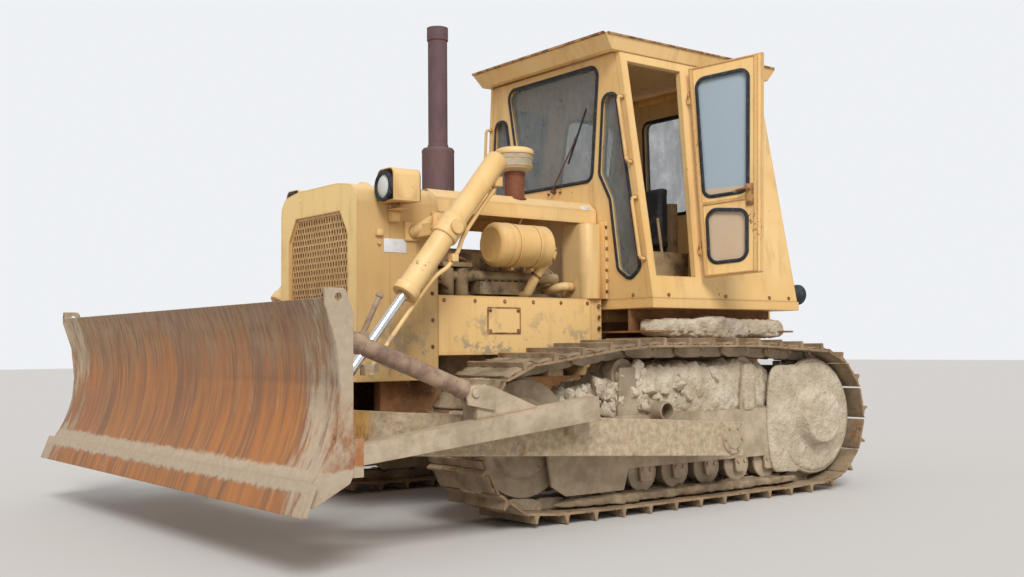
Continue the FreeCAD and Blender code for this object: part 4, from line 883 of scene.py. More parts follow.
def pin_places():
    """Pin centres (x, z), evenly spaced round the track."""
    wheels = [(Vector((x + SHIFT, z)), radius) for x, z, radius in WHEELS]
    normals = []
    for (centre, radius), (ahead, next_radius) in zip(wheels, wheels[1:] + wheels[:1]):
        run = ahead - centre
        along = run.normalized()
        lean = math.asin((radius - next_radius) / run.length)
        normals.append(Vector((along.y, -along.x)) * math.cos(lean) + along * math.sin(lean))
    line = []
    for i, (centre, radius) in enumerate(wheels):
        first = math.atan2(normals[i - 1].y, normals[i - 1].x)
        sweep = (math.atan2(normals[i].y, normals[i].x) - first) % math.tau
        for k in range(121):
            angle = first + sweep * k / 120
            line.append(centre + Vector((math.cos(angle), math.sin(angle))) * radius)
    lengths = [(line[(i + 1) % len(line)] - point).length for i, point in enumerate(line)]
    whole = sum(lengths)
    count = round(whole / PITCH)
    pins = []
    passed = 0.0
    for i, point in enumerate(line):
        while len(pins) < count and whole * len(pins) / count <= passed + lengths[i] and lengths[i] > 0:
            share = (whole * len(pins) / count - passed) / lengths[i]
            pins.append(point.lerp(line[(i + 1) % len(line)], share))
        passed += lengths[i]
    return pins


def track_spots(pins, side, shift_y=0.0, stagger=0.0):
    """A place and turn for each link: along its pins, its inner face up."""
    spots = []
    for i, pin in enumerate(pins):
        run = pins[(i + 1) % len(pins)] - pin
        y = TRACK_Y * side + shift_y + (stagger if i % 2 else 0.0)
        spots.append(((pin.x, y, pin.y), (0, math.atan2(-run.y, run.x), 0), SAME))
    return spots


def shoe_mesh():
    """One shoe: a plate with a curled front lip, its grouser bar and four bolt heads."""
    half = 0.25
    profile = [(-0.004, -0.013), (0.004, -0.021), (0.03, -0.0225), (0.118, -0.0225), (0.124, -0.040),
               (0.127, -0.066), (0.141, -0.067), (0.147, -0.040), (0.152, -0.0235), (0.185, -0.022),
               (0.197, -0.026), (0.199, -0.018), (0.188, -0.0105), (0.010, -0.0095)]
    form = Form("shoe")
    form.plate([(x, -half, z) for x, z in profile], (0, half * 2, 0))
    for x in (0.045, 0.092):
        for y in (-0.088, -0.037, 0.037, 0.088):
            form.lathe((x, y, -0.020), (0, 0, -1), [(0, 0.015), (0.011, 0.014), (0.0125, 0.011)], 6)
    return form.mesh(bevel=0.0016, segments=1)


def link_mesh():
    """One link plate with round ends and a waist."""
    form = Form("link")
    ends = []
    for centre, first in ((0.0, 90), (PITCH, -90)):
        for k in range(7):
            angle = math.radians(first + 30 * k)
            ends.append((centre + 0.031 * math.cos(angle), 0.008 + 0.031 * math.sin(angle)))
    waist = [(0.170, 0.050), (0.034, 0.050)]
    outline = ends[:7] + [(0.04, -0.0095), (0.163, -0.0095)] + ends[7:] + waist
    form.plate([(x, -0.011, z) for x, z in outline], (0, 0.022, 0))
    form.lathe((0, -0.013, 0), (0, 1, 0), [(0, 0.020), (0.026, 0.020)], 12)
    return form.mesh(bevel=0.0015, segments=1)


def bush_mesh():
    """A pin with its bush between the two rows of links."""
    form = Form("bush")
    form.lathe((0, -0.092, 0), (0, 1, 0),
               [(0, 0.016), (0.045, 0.016), (0.046, 0.028), (0.138, 0.028), (0.139, 0.016), (0.184, 0.016)],
               14)
    return form.mesh()


def tracks():
    """Both tracks, shoe by shoe, with their rows of links and pins."""
    pins = pin_places()
    for name, side in (("left", 1), ("right", -1)):
        shoes = repeat(f"shoes_{name}", shoe_mesh(), track_spots(pins, side), shoe_steel,
                       jitter=(0, 0.012, 0.004), seed=3)
        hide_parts(f"track_{name}")
        spots = []
        for row in (-1, 1):
            spots += track_spots(pins, side, row * 0.0515, row * 0.022)
        repeat(f"links_{name}", link_mesh(), spots, mud_steel)
        repeat(f"bushes_{name}", bush_mesh(), track_spots(pins, side), mud_steel)


def running_wheels():
    """Idlers as turned pieces."""
    form = Form("idler_wheels")
    tread = box_radius("idlers")
    for y in (-TRACK_Y, TRACK_Y):
        rim, mid = tread - 0.018, tread
        form.lathe(at(IDLER[0], y - 0.096, IDLER[1]), (0, 1, 0),
                   [(0.0, 0.075), (0.010, 0.085), (0.012, 0.20), (0.030, 0.22), (0.012, rim - 0.03),
                    (0.013, rim), (0.058, rim), (0.062, mid), (0.130, mid), (0.134, rim), (0.179, rim),
                    (0.180, rim - 0.03), (0.162, 0.22), (0.180, 0.20), (0.182, 0.085), (0.192, 0.075)], 72)
    idlers = add_piece("idler_wheels", form.mesh(smooth=30), mud_steel)
    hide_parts("idlers")


def rollers():
    """Track rollers with double flanges, and the carriers above them, with their end caps."""
    form = Form("roller_wheels")
    tread = [(0.0, 0.030), (0.003, 0.045), (0.006, 0.060), (0.008, 0.104), (0.010, 0.110), (0.020, 0.112),
             (0.023, 0.0997),
             (0.092, 0.0997), (0.094, 0.085)]
    for side in (-1, 1):
        for x in ROLLER_X:
            profile = tread + [(0.224 - distance, radius) for distance, radius in reversed(tread)]
            form.lathe(at(x, TRACK_Y * side - 0.112, ROLLER_Z), (0, 1, 0), profile, 40)
        for x in CARRIER_X:
            form.lathe(at(x, TRACK_Y * side - 0.110, CARRIER_Z), (0, 1, 0),
                       [(0, 0.038), (0.004, 0.055), (0.010, 0.060), (0.012, 0.0892), (0.088, 0.0892),
                        (0.090, 0.075),
                        (0.130, 0.075), (0.132, 0.0892), (0.208, 0.0892), (0.210, 0.060), (0.216, 0.055),
                        (0.220, 0.038)], 36)
    wheels = add_piece("roller_wheels", form.mesh(smooth=30), frame_earth)
    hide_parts("rollers")


def plate_pair(form, outline, side, thick=0.016):
    """The same plate on the outer and the inner face of a track frame."""
    for y in (TRACK_Y + 0.125, TRACK_Y - 0.125 - thick):
        low = min(y * side, (y + thick) * side)
        form.plate(flat(outline, low), (0, thick, 0))


def track_frames():
    """Beam between two plates: guards in front, feet for the bare rollers, carrier posts and pivots."""
    for name, side in (("left", 1), ("right", -1)):
        form = Form("track_frame")
        low, high = sorted((0.815 * side, 1.065 * side))
        form.block(at(-0.760, low, 0.340), at(0.800, high, 0.560))
        plate_pair(form, [(-0.850, 0.250), (0.460, 0.250), (0.500, 0.132), (0.930, 0.132), (1.030, 0.190),
                          (1.060, 0.370), (1.330, 0.400), (1.330, 0.510), (0.800, 0.550), (-0.850, 0.550)],
                   side)
        for x in ROLLER_X[1:]:
            plate_pair(form, [(x - 0.050, 0.250), (x - 0.044, 0.176), (x - 0.034, 0.166), (x + 0.034, 0.166),
                              (x + 0.044, 0.176), (x + 0.050, 0.250)], side, 0.0155)
            for y in (TRACK_Y + 0.1405, TRACK_Y - 0.1405):
                way = 1 if y > TRACK_Y else -1
                for shift in (-0.030, 0.030):
                    form.lathe(at(x + shift, y * side, 0.232), (0, way * side, 0),
                               [(0, 0.013), (0.010, 0.012)], 6)
        for x in CARRIER_X:
            plate_pair(form, [(x - 0.080, 0.540), (x + 0.080, 0.540), (x + 0.062, 0.822), (x - 0.062, 0.822)],
                       side, 0.0155)
        out = Vector((0, side, 0))
        form.lathe(at(PIVOT[0], 1.080 * side, PIVOT[1]), out, [(0, 0.100), (0.004, 0.104), (0.020, 0.095),
                                                               (0.090, 0.095)], 36)
        form.lathe(at(PIVOT[0], 1.165 * side, PIVOT[1]), out, [(0, 0.055), (0.163, 0.055)], 32)
        form.lathe(at(0.240, 1.080 * side, 0.567), out, [(0, 0.066), (0.010, 0.058), (0.094, 0.058),
                                                         (0.097, 0.055), (0.097, 0.046), (0.020, 0.046)], 32)
        made = add_piece(f"track_frame_body_{name}", form.mesh(bevel=0.003), frame_earth)
        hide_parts(f"track_frame_{name}")


def box_radius(node):
    """Half the height of a node's box."""
    low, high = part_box(node)
    return (high.z - low.z) / 2


# Mud: clods and splashes that lie on what holds them.

def clod_mesh(name, seed):
    """A broken lump of dried earth, about 1 across."""
    chance = random.Random(seed)
    work = bmesh.new()
    bmesh.ops.create_icosphere(work, subdivisions=3, radius=0.5)
    cuts = []
    for _ in range(9):
        way = Vector((chance.gauss(0, 1), chance.gauss(0, 1), chance.gauss(0, 1))).normalized()
        cuts.append((way, chance.uniform(0.26, 0.42)))
    for vert in work.verts:
        for way, reach in cuts:
            over = vert.co.dot(way) - reach
            if over > 0:
                vert.co -= way * (over * 0.92)
        vert.co *= 1 + chance.uniform(-0.05, 0.05)
    return finished(name, work, 40)


HEAP_STEP = 0.012  # between a bank's rings


def broken(spot, size):
    """Lumps with cracks between them: about 0 in a crack and 1 on a lump."""
    near = noise.voronoi(spot / size)[0]
    return (near[1] - near[0]) * 1.1 + noise.noise(spot * (0.7 / size)) * 0.5


def heap(name, start, end, ring, material=None, around=64):
    """A bank of earth along the machine.

    Ring is its middle (y, z), half sizes and roughness, or a function of x that gives them.
    """
    work = bmesh.new()
    stations = max(8, int((end - start) / HEAP_STEP))
    rings = []
    for i in range(stations + 1):
        share = i / stations
        x = start + (end - start) * share
        y, z, wide, tall, rough = ring(x) if callable(ring) else ring
        taper = max(0.02, 1 - abs(share * 2 - 1) ** 8) ** 0.5
        row = []
        for k in range(around):
            angle = math.tau * k / around
            c, s = math.cos(angle), math.sin(angle)
            out = Vector((0, math.copysign(abs(c) ** 0.5 * wide, c),
                          math.copysign(abs(s) ** 0.5 * tall, s))) * taper
            spot = at(x, y, z) + out
            relief = broken(spot, 0.11) * 0.62 + broken(spot, 0.042) * 0.38 - 0.5
            row.append(work.verts.new(spot + out.normalized() * (relief * rough * taper)))
        rings.append(row)
    skin(work, rings)
    bmesh.ops.recalc_face_normals(work, faces=work.faces)
    add_piece(name, finished(name, work), material or clods)


def blend(value, low, high):
    """0 up to low, 1 from high on, smooth between."""
    share = min(1.0, max(0.0, (value - low) / (high - low)))
    return share * share * (3 - 2 * share)


def mud_banks():
    """Earth between track frame and upper run, on its post and side plate, and on the lower run."""
    for name, side in (("left", 1), ("right", -1)):
        def bank(x):
            forward = blend(x, -0.15, 0.45)
            top = 0.860 - 0.09 * blend(x, 0.10, 0.75) - 0.02 * noise.noise(Vector((x * 3, side, 0)))
            low = 0.500
            half = 0.152 - 0.006 * forward + 0.014 * noise.noise(Vector((x * 4, 0, side)))
            return 0.935 * side, (top + low) / 2, half, (top - low) / 2, 0.045 + 0.035 * forward

        heap(f"mud_bank_{name}", -0.90, 0.92, bank)
        heap(f"mud_post_{name}", -0.628, -0.512, (1.074 * side, 0.685, 0.026, 0.145, 0.006))
        heap(f"mud_skin_{name}", -1.26, -0.74, (1.084 * side, 0.475, 0.020, 0.345, 0.012))
        heap(f"mud_bed_{name}", -1.02, 1.02, (1.075 * side, 0.092, 0.062, 0.030, 0.030), track_mud, 40)


def hub_mud():
    """Dried mud over the round covers of the final drives and the lumps of their hubs."""
    for name, side in (("left", 1), ("right", -1)):
        work = bmesh.new()
        centre = at(SPROCKET[0], 0, SPROCKET[1])
        around, rows = 120, []
        reaches = [0.02 + 0.356 * i / 34 for i in range(35)]
        for reach in reaches:
            row = []
            for k in range(around):
                angle = math.tau * k / around
                edge = 0.362 + 0.012 * noise.noise(Vector((math.cos(angle) * 2, math.sin(angle) * 2, side)))
                hub = 0.170 + 0.010 * noise.noise(Vector((math.cos(angle) * 3, 7, math.sin(angle) * 3)))
                spot = centre + Vector((math.cos(angle), 0, math.sin(angle))) * reach
                relief = broken(spot, 0.07) * 0.7 + broken(spot, 0.025) * 0.3
                y = 1.098 + 0.010 + relief * 0.010 - 0.030 * blend(reach, edge - 0.02, edge + 0.02)
                lump = 1 - blend(reach, hub - 0.004, hub + 0.030)
                y += lump * (0.078 + relief * 0.004)
                row.append(work.verts.new((spot.x, y * side, spot.z)))
            rows.append(row)
        rows.append([work.verts.new((vert.co.x, 1.084 * side, vert.co.z)) for vert in rows[-1]])
        skin(work, rows)
        bmesh.ops.recalc_face_normals(work, faces=work.faces)
        add_piece(f"hub_mud_{name}", finished("hub_mud", work), clods)


def fender_mud():
    """Heaps that lie on the fenders beside the cab."""
    for name, side in (("left", 1), ("right", -1)):
        def ridge(x):
            swell = 0.5 + 0.5 * noise.noise(Vector((x * 2.6, side * 3, 1)))
            return 0.762 * side, 1.055, 0.105 + 0.012 * swell, 0.045 + 0.050 * swell, 0.035

        heap(f"fender_mud_{name}", -1.28, 0.02, ridge, around=56)


def packed_mesh():
    """Mud packed on one shoe before and behind its grouser."""
    work = bmesh.new()
    for low, high in ((0.012, 0.120), (0.152, 0.198)):
        place = Matrix.Translation(((low + high) / 2, 0, -0.032)) @ Matrix.Diagonal((high - low, 0.475, 0.022,
                                                                                     1))
        cube = bmesh.ops.create_cube(work, size=1, matrix=place)
        edges = list({edge for vert in cube["verts"] for edge in vert.link_edges})
        bmesh.ops.subdivide_edges(work, edges=edges, cuts=9, use_grid_fill=True)
    for vert in work.verts:
        relief = broken(Vector((vert.co.x, vert.co.y, 3.0)), 0.05) - 0.5
        if vert.co.z < -0.03:
            vert.co.z -= 0.014 * relief
        vert.co.y += 0.006 * noise.noise(vert.co * 30)
    return finished("packed", work)


def packed_shoes():
    """Mud between the grousers of both tracks."""
    pins = pin_places()
    for name, side in (("left", 1), ("right", -1)):
        spots = [spot for spot in track_spots(pins, side) if spot[0][2] > 0.10]
        repeat(f"shoe_mud_{name}", packed_mesh(), spots, track_mud, jitter=(0.01, 0.02, 0), seed=11)


def track_crumbs():
    """Clods stuck in the banks."""
    chance = random.Random(31)
    for name, side in (("left", 1), ("right", -1)):
        spots = []
        for _ in range(130):
            x = chance.uniform(-0.45, 0.90)
            y = chance.uniform(1.02, 1.075)
            z = chance.uniform(0.58, 0.80 - 0.10 * blend(x, 0.3, 0.9))
            width = chance.uniform(0.03, 0.15) * (0.6 + 0.4 * blend(x, -0.1, 0.3))
            spots.append((at(x, y * side, z), tuple(chance.uniform(-3, 3) for _ in range(3)),
                          (width, width * 0.9, width * 0.7)))
        repeat(f"track_crumbs_{name}", clod_mesh("clod", 5 + side), spots, clods, smallest=0.8, seed=7)


tracks()
running_wheels()
rollers()
track_frames()
mud_banks()
hub_mud()
fender_mud()
packed_shoes()
track_crumbs()

# Cab: seals round its windows, rails, wiper and the doors' details.

CAB_RISE = 1.553
FRONT_LEAN = math.atan2(0.065, CAB_RISE)
REAR_LEAN = math.atan2(0.124, CAB_RISE)
SIDE_LEAN = math.atan2(0.201, CAB_RISE)
SLOPE = 1 / math.cos(SIDE_LEAN)
DOOR_OPEN = math.radians(106)
HINGE = at(-0.404, 0.876227, 1.368209)
HINGE_AXIS = Vector((-0.053859, -0.12817, 0.990289))


def wall_place(origin, across, out, up):
    """Turn (across, out, up) places on a wall into places on the machine."""
    turn = Matrix((across, out, up)).transposed().to_4x4()
    return Matrix.Translation(at(*origin)) @ turn


FRONT = wall_place((0.039, 0, 1.237), (0, 1, 0), (math.cos(FRONT_LEAN), 0, -math.sin(FRONT_LEAN)),
                   (math.sin(FRONT_LEAN), 0, math.cos(FRONT_LEAN)))
REAR = wall_place((-1.340, 0, 1.237), (0, 1, 0), (-math.cos(REAR_LEAN), 0, math.sin(REAR_LEAN)),
                  (math.sin(REAR_LEAN), 0, math.cos(REAR_LEAN)))
LEFT = wall_place((0, 0.868, 1.237), (1, 0, 0), (0, math.cos(SIDE_LEAN), math.sin(SIDE_LEAN)),
                  (0, -math.sin(SIDE_LEAN), math.cos(SIDE_LEAN)))
OTHER_SIDE = Matrix.Diagonal((1, -1, 1, 1))
RIGHT = OTHER_SIDE @ LEFT
SWING = (Matrix.Translation(HINGE) @ Matrix.Rotation(DOOR_OPEN, 4, HINGE_AXIS) @ Matrix.Translation(-HINGE))
DOOR_LEFT = SWING @ LEFT

WINDSCREEN = [(-0.365, 0.775), (0.365, 0.775), (0.470, 1.500), (-0.470, 1.500)]
CORNER = [(0.575, 0.190), (0.680, 0.120), (0.775, 0.190), (0.625, 1.300), (0.505, 1.300), (0.440, 0.810),
          (0.530, 0.640)]
REAR_WINDOW = [(0.020, 0.700), (0.480, 0.700), (0.440, 1.420), (0.020, 1.420)]
SIDE_WINDOW = [(-0.560, 0.690 * SLOPE), (-0.600, 1.420 * SLOPE), (-1.130, 1.420 * SLOPE),
               (-1.085, 0.690 * SLOPE)]
DOOR_UPPER = [(-0.375, 0.640 * SLOPE), (-0.075, 0.640 * SLOPE), (-0.045, 1.420 * SLOPE),
              (-0.410, 1.420 * SLOPE)]
DOOR_LOWER = [(-0.350, 0.215 * SLOPE), (-0.095, 0.215 * SLOPE), (-0.085, 0.520 * SLOPE),
              (-0.360, 0.560 * SLOPE)]


def mirrored(outline):
    """A window's outline on the other half of its wall."""
    return [(-a, b) for a, b in reversed(outline)]


def on_wall(place, outline, out):
    """Flat (across, up) points as places on the machine, standing out from a wall."""
    return [place @ Vector((point[0], out, point[1])) for point in outline]


def seal_ring(form, place, corners, radius, face, depth):
    """A rubber strip round a window: a lip over the wall and one over the glass."""
    edge = rounded([Vector(corner) for corner in corners], radius, 8)
    lip = 0.009
    outer, inner = grown(edge, 0.013), grown(edge, -0.010)
    mid_out, mid_in = grown(edge, 0.005), grown(edge, -0.003)
    way = 1 if depth > 0 else -1
    form.frame(on_wall(place, outer, face), on_wall(place, mid_in, face),
               place.to_3x3() @ Vector((0, lip * 0.55 * way, 0)))
    form.frame(on_wall(place, mid_out, face), on_wall(place, inner, face),
               place.to_3x3() @ Vector((0, lip * way, 0)))


def window_seals():
    """Seals on both faces of each wall, and round both panes of each door."""
    fixed = Form("window_seals")
    walls = [(FRONT, WINDSCREEN, 0.065), (FRONT, CORNER, 0.055), (FRONT, mirrored(CORNER), 0.055),
             (REAR, REAR_WINDOW, 0.060), (REAR, mirrored(REAR_WINDOW), 0.060), (LEFT, SIDE_WINDOW, 0.090),
             (RIGHT, SIDE_WINDOW, 0.090)]
    for place, corners, radius in walls:
        seal_ring(fixed, place, corners, radius, 0.0, 1)
        seal_ring(fixed, place, corners, radius, -0.040, -1)
    add_piece("window_seals", fixed.mesh(bevel=0.0022, segments=2), seal)
    for name, place in (("left", DOOR_LEFT), ("right", RIGHT)):
        form = Form("door_seals")
        for corners, radius in ((DOOR_UPPER, 0.058), (DOOR_LOWER, 0.062)):
            seal_ring(form, place, corners, radius, 0.040, 1)
            seal_ring(form, place, corners, radius, 0.010, -0.6)
        add_piece(f"door_seals_{name}", form.mesh(bevel=0.0022, segments=2), seal, f"door_{name}_leaf")


def half_width_at(height):
    """Outer half width of the cab at a height over its bottom."""
    return 0.868 - 0.201 * height / CAB_RISE


def hand_rails():
    """Bent rails that stand off the front wall's outer edges."""
    form = Form("hand_rails")
    for low, high in ((0.847, 1.261), (0.242, 0.621)):
        for side in (1, -1):
            route = []
            for height, out in ((low, 0.0), (low, 0.028), (low + 0.006, 0.040), (low + 0.018, 0.045),
                                (high - 0.018, 0.045), (high - 0.006, 0.040), (high, 0.028), (high, 0.0)):
                across = (half_width_at(height) - 0.020) * side
                route.append(FRONT @ Vector((across, out, height)))
            form.pipe(route, 0.0105, 12)
            for height in (low, high):
                across = (half_width_at(height) - 0.020) * side
                foot = FRONT @ Vector((across, 0.0, height))
                form.lathe(foot, FRONT.to_3x3() @ Vector((0, 1, 0)), [(0, 0.020), (0.005, 0.019)], 16)
    rails = add_piece("hand_rails", form.mesh(), paint)
    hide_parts("grab_rails")


def wiper():
    """Arm and blade resting on the windscreen, turned by a spindle under it."""
    form = Form("wiper_arm")
    spindle = Vector((-0.010, 0.0, 0.745))
    out = FRONT.to_3x3() @ Vector((0, 1, 0))
    form.lathe(FRONT @ spindle, out, [(0, 0.018), (0.012, 0.018), (0.014, 0.011), (0.034, 0.010)], 16)
    for shift in (-0.06, 0.06):
        form.lathe(FRONT @ (spindle + Vector((shift, 0, -0.012))), out, [(0, 0.009), (0.012, 0.008)], 8)
    tip = Vector((0.255, 0.034, 1.050))
    form.rod(FRONT @ (spindle + Vector((0, 0.026, 0))), FRONT @ tip, 0.0055, 8)
    add_piece("wiper_arm", form.mesh(bevel=0.001), pipe_rust)
    rubber_part = Form("wiper_blade")
    low, high = Vector((0.160, 0.018, 0.910)), Vector((0.360, 0.018, 1.240))
    rubber_part.rod(FRONT @ low, FRONT @ high, 0.007, 8)
    rubber_part.rod(FRONT @ tip, FRONT @ ((low + high) / 2), 0.009, 8)
    add_piece("wiper_blade", rubber_part.mesh(), seal)


def door_trim(name, place):
    """Folded edge, middle bar and latch of one door."""
    form = Form("door_trim")
    outline = [(-0.389, 0.136), (-0.024, 0.136), (0.026, 1.514), (-0.462, 1.514)]
    outline = [Vector(point) for point in outline]
    inner = grown(outline, -0.030)
    for face, way in ((0.040, 1), (0.010, -1)):
        form.frame(on_wall(place, outline, face), on_wall(place, inner, face),
                   place.to_3x3() @ Vector((0, 0.006 * way, 0)))
    bar = [(-0.385, 0.592), (-0.035, 0.592), (-0.034, 0.612), (-0.386, 0.612)]
    form.plate(on_wall(place, bar, 0.004), place.to_3x3() @ Vector((0, 0.006, 0)))
    add_piece(f"door_trim_{name}", form.mesh(bevel=0.002), door_paint, f"door_{name}_leaf")
    latch = Form("door_latch")
    latch.plate(on_wall(place, [(-0.085, 0.555), (-0.040, 0.555), (-0.038, 0.690), (-0.083, 0.690)], 0.010),
                place.to_3x3() @ Vector((0, -0.014, 0)))
    latch.rod(place @ Vector((-0.062, -0.004, 0.655)), place @ Vector((-0.062, -0.045, 0.655)), 0.011, 12)
    latch.rod(place @ Vector((-0.062, -0.040, 0.655)), place @ Vector((-0.150, -0.044, 0.640)), 0.008, 10)
    latch.plate(on_wall(place, [(-0.100, 0.585), (-0.050, 0.585), (-0.050, 0.665), (-0.100, 0.665)], 0.040),
                place.to_3x3() @ Vector((0, 0.012, 0)))
    latch.rod(place @ Vector((-0.075, 0.050, 0.625)), place @ Vector((-0.075, 0.085, 0.625)), 0.010, 12)
    latch.rod(place @ Vector((-0.075, 0.080, 0.625)), place @ Vector((-0.175, 0.083, 0.618)), 0.008, 10)
    add_piece(f"door_latch_{name}", latch.mesh(bevel=0.0015), rusty_trim, f"door_{name}_leaf")


def roof_details():
    """Drip rails along the sides and the raised front lip."""
    form = Form("roof_trim")
    low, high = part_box("cab_roof")
    form.block((high.x - 0.004, low.y + 0.01, high.z - 0.010),
               (high.x + 0.010, high.y - 0.01, high.z + 0.006))
    for side in (-1, 1):
        y = (high.y - 0.006) * side
        form.block((low.x + 0.02, min(y, y + 0.012 * side), high.z - 0.008),
                   (high.x - 0.02, max(y, y + 0.012 * side), high.z + 0.005))
    add_piece("roof_trim", form.mesh(bevel=0.002), roof_edge)


def rear_lamp():
    """Round black lamp on a bracket at the cab's lower rear corner."""
    form = Form("rear_lamp")
    centre = at(-1.400, 0.790, 1.290)
    form.lathe(centre - Vector((-0.045, 0, 0)), (-1, 0, 0),
               [(0, 0.030), (0.012, 0.052), (0.050, 0.066), (0.085, 0.070), (0.095, 0.070), (0.096, 0.060),
                (0.088, 0.056)], 28)
    form.rod(centre + Vector((0.01, 0, -0.050)), centre + Vector((0.050, 0, -0.052)), 0.012, 10)
    add_piece("rear_lamp", form.mesh(), seal)


window_seals()
hand_rails()
wiper()
for side_name, leaf_place in (("left", DOOR_LEFT), ("right", RIGHT)):
    door_trim(side_name, leaf_place)
roof_details()
rear_lamp()


# Nose: perforated grille, lamps and small fittings.

GRILLE_STEP = (0.030, 0.036)
GRILLE_HALF = 0.345
GRILLE_LOW = 0.930
GRILLE_HIGH = 1.705


def grille_cell():
    """One hole's worth of the perforated plate: a brick with a tall six-sided hole."""
    wide, tall = GRILLE_STEP
    outer = [(-wide / 2, 0), (-wide / 2, -tall / 2), (wide / 2, -tall / 2), (wide / 2, 0),
             (wide / 2, tall / 2),
             (-wide / 2, tall / 2)]
    a, b = wide * 0.31, tall * 0.36
    inner = [(-a, 0), (-a * 0.8, -b), (a * 0.8, -b), (a, 0), (a * 0.8, b), (-a * 0.8, b)]
    form = Form("grille_cell")
    form.frame([(0, y, z) for y, z in outer], [(0, y, z) for y, z in inner], (0.005, 0, 0))
    return form.mesh(smooth=20)


def grille():
    """Staggered rows of holes inside a plain rim."""
    spots = []
    wide, tall = GRILLE_STEP
    rows = int((GRILLE_HIGH - GRILLE_LOW) / tall)
    face_x = 1.840 + SHIFT
    for row in range(rows):
        z = GRILLE_LOW + tall * (row + 0.5)
        shift = wide / 2 if row % 2 else 0.0
        count = int(GRILLE_HALF * 2 / wide)
        for column in range(-1, count + 1):
            y = -GRILLE_HALF + wide * (column + 0.5) + shift
            if abs(y) < GRILLE_HALF + 0.012:
                spots.append(((face_x, y, z), (0, 0, 0), SAME))
    plate = repeat("grille_holes", grille_cell(), spots, grille_paint)
    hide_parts("grille")
    rim = Form("grille_rim")
    half, low, high = GRILLE_HALF, GRILLE_LOW, GRILLE_HIGH
    outline = [(-half, low), (half, low), (half, high - 0.130), (half - 0.085, high), (0.085 - half, high),
               (-half, high - 0.130)]
    inner = grown([Vector(point) for point in outline], -0.018)
    x = 1.8465 + SHIFT
    rim.frame([(x, y, z) for y, z in grown([Vector(point) for point in outline], 0.02)],
              [(x, y, z) for y, z in inner],
              (-0.006, 0, 0))
    add_piece("grille_rim", rim.mesh(), grille_paint)


def head_lamps():
    """Lamp shells with rims, under folded hoods on feet."""
    y, z = 0.534, 1.822
    shells = Form("lamp_shells")
    shells.lathe(at(1.600, y, z), (1, 0, 0),
                 [(0, 0.030), (0.006, 0.055), (0.040, 0.074), (0.130, 0.077), (0.132, 0.083), (0.150, 0.083),
                  (0.153, 0.079), (0.153, 0.066), (0.140, 0.0655)], 40)
    shells.mirror()
    add_piece("lamp_shells", shells.mesh(), seal)
    hoods = Form("lamp_hoods")
    outline = [Vector(point) for point in ((0.452, 1.740), (0.624, 1.740), (0.624, 1.920), (0.462, 1.920),
                                           (0.452, 1.860))]
    arc = 7
    upper = rounded(outline[1:], 0.040, arc - 1)[arc:3 * arc]
    outer = [outline[0], outline[1], *upper, outline[4]]
    inner = grown(outer, -0.006)
    hoods.frame([at(1.560, a, b) for a, b in outer], [at(1.560, a, b) for a, b in inner], (0.176, 0, 0))
    hoods.plate([at(1.560, a, b) for a, b in outer], (0.006, 0, 0))
    hoods.block(at(1.600, 0.450, 1.640), at(1.660, 0.480, 1.750))
    hoods.block(at(1.590, 0.452, 1.700), at(1.670, 0.560, 1.708))
    hoods.mirror()
    made_hoods = add_piece("lamp_hoods", hoods.mesh(bevel=0.0015), paint)
    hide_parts("headlamps")
    lens = Form("lamp_glass")
    lens.lathe(at(1.736, y, z), (1, 0, 0), [(0, 0.0655), (0.006, 0.064), (0.013, 0.050), (0.017, 0.030),
                                            (0.0185, 0.008)], 40)
    lens.mirror()
    made_lens = add_piece("lamp_glass", lens.mesh(), lamp_lens)
    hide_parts("lamp_lenses")


def nose_fittings():
    """Filler cap, seam strip, latch, boss and bare plate of the nose."""
    form = Form("nose_fittings")
    side_y = 0.4495
    form.lathe(at(1.560, 0, 1.860), (0, 0, 1), [(0, 0.052), (0.020, 0.052), (0.022, 0.060), (0.036, 0.060),
                                                (0.040, 0.050)], 28)
    form.lathe(at(1.400, side_y, 1.330), (0, 1, 0), [(0, 0.022), (0.010, 0.021), (0.012, 0.012)], 20)
    form.block(at(1.700, side_y, 1.560), at(1.745, side_y + 0.016, 1.600))
    form.rod(at(1.722, side_y, 1.520), at(1.722, side_y + 0.012, 1.520), 0.010, 12)
    form.block(at(1.6495, side_y - 0.002, 0.780), at(1.6525, side_y + 0.0025, 1.720))
    add_piece("nose_fittings", form.mesh(bevel=0.0015), paint)
    plate = Form("bare_plate")
    plate.block(at(1.545, side_y, 1.472), at(1.690, side_y + 0.003, 1.548))
    add_piece("bare_plate", plate.mesh(bevel=0.001), white_plate)


grille()
head_lamps()
nose_fittings()


# Engine side: air cleaner, intake bowl, exhaust and tank fittings.

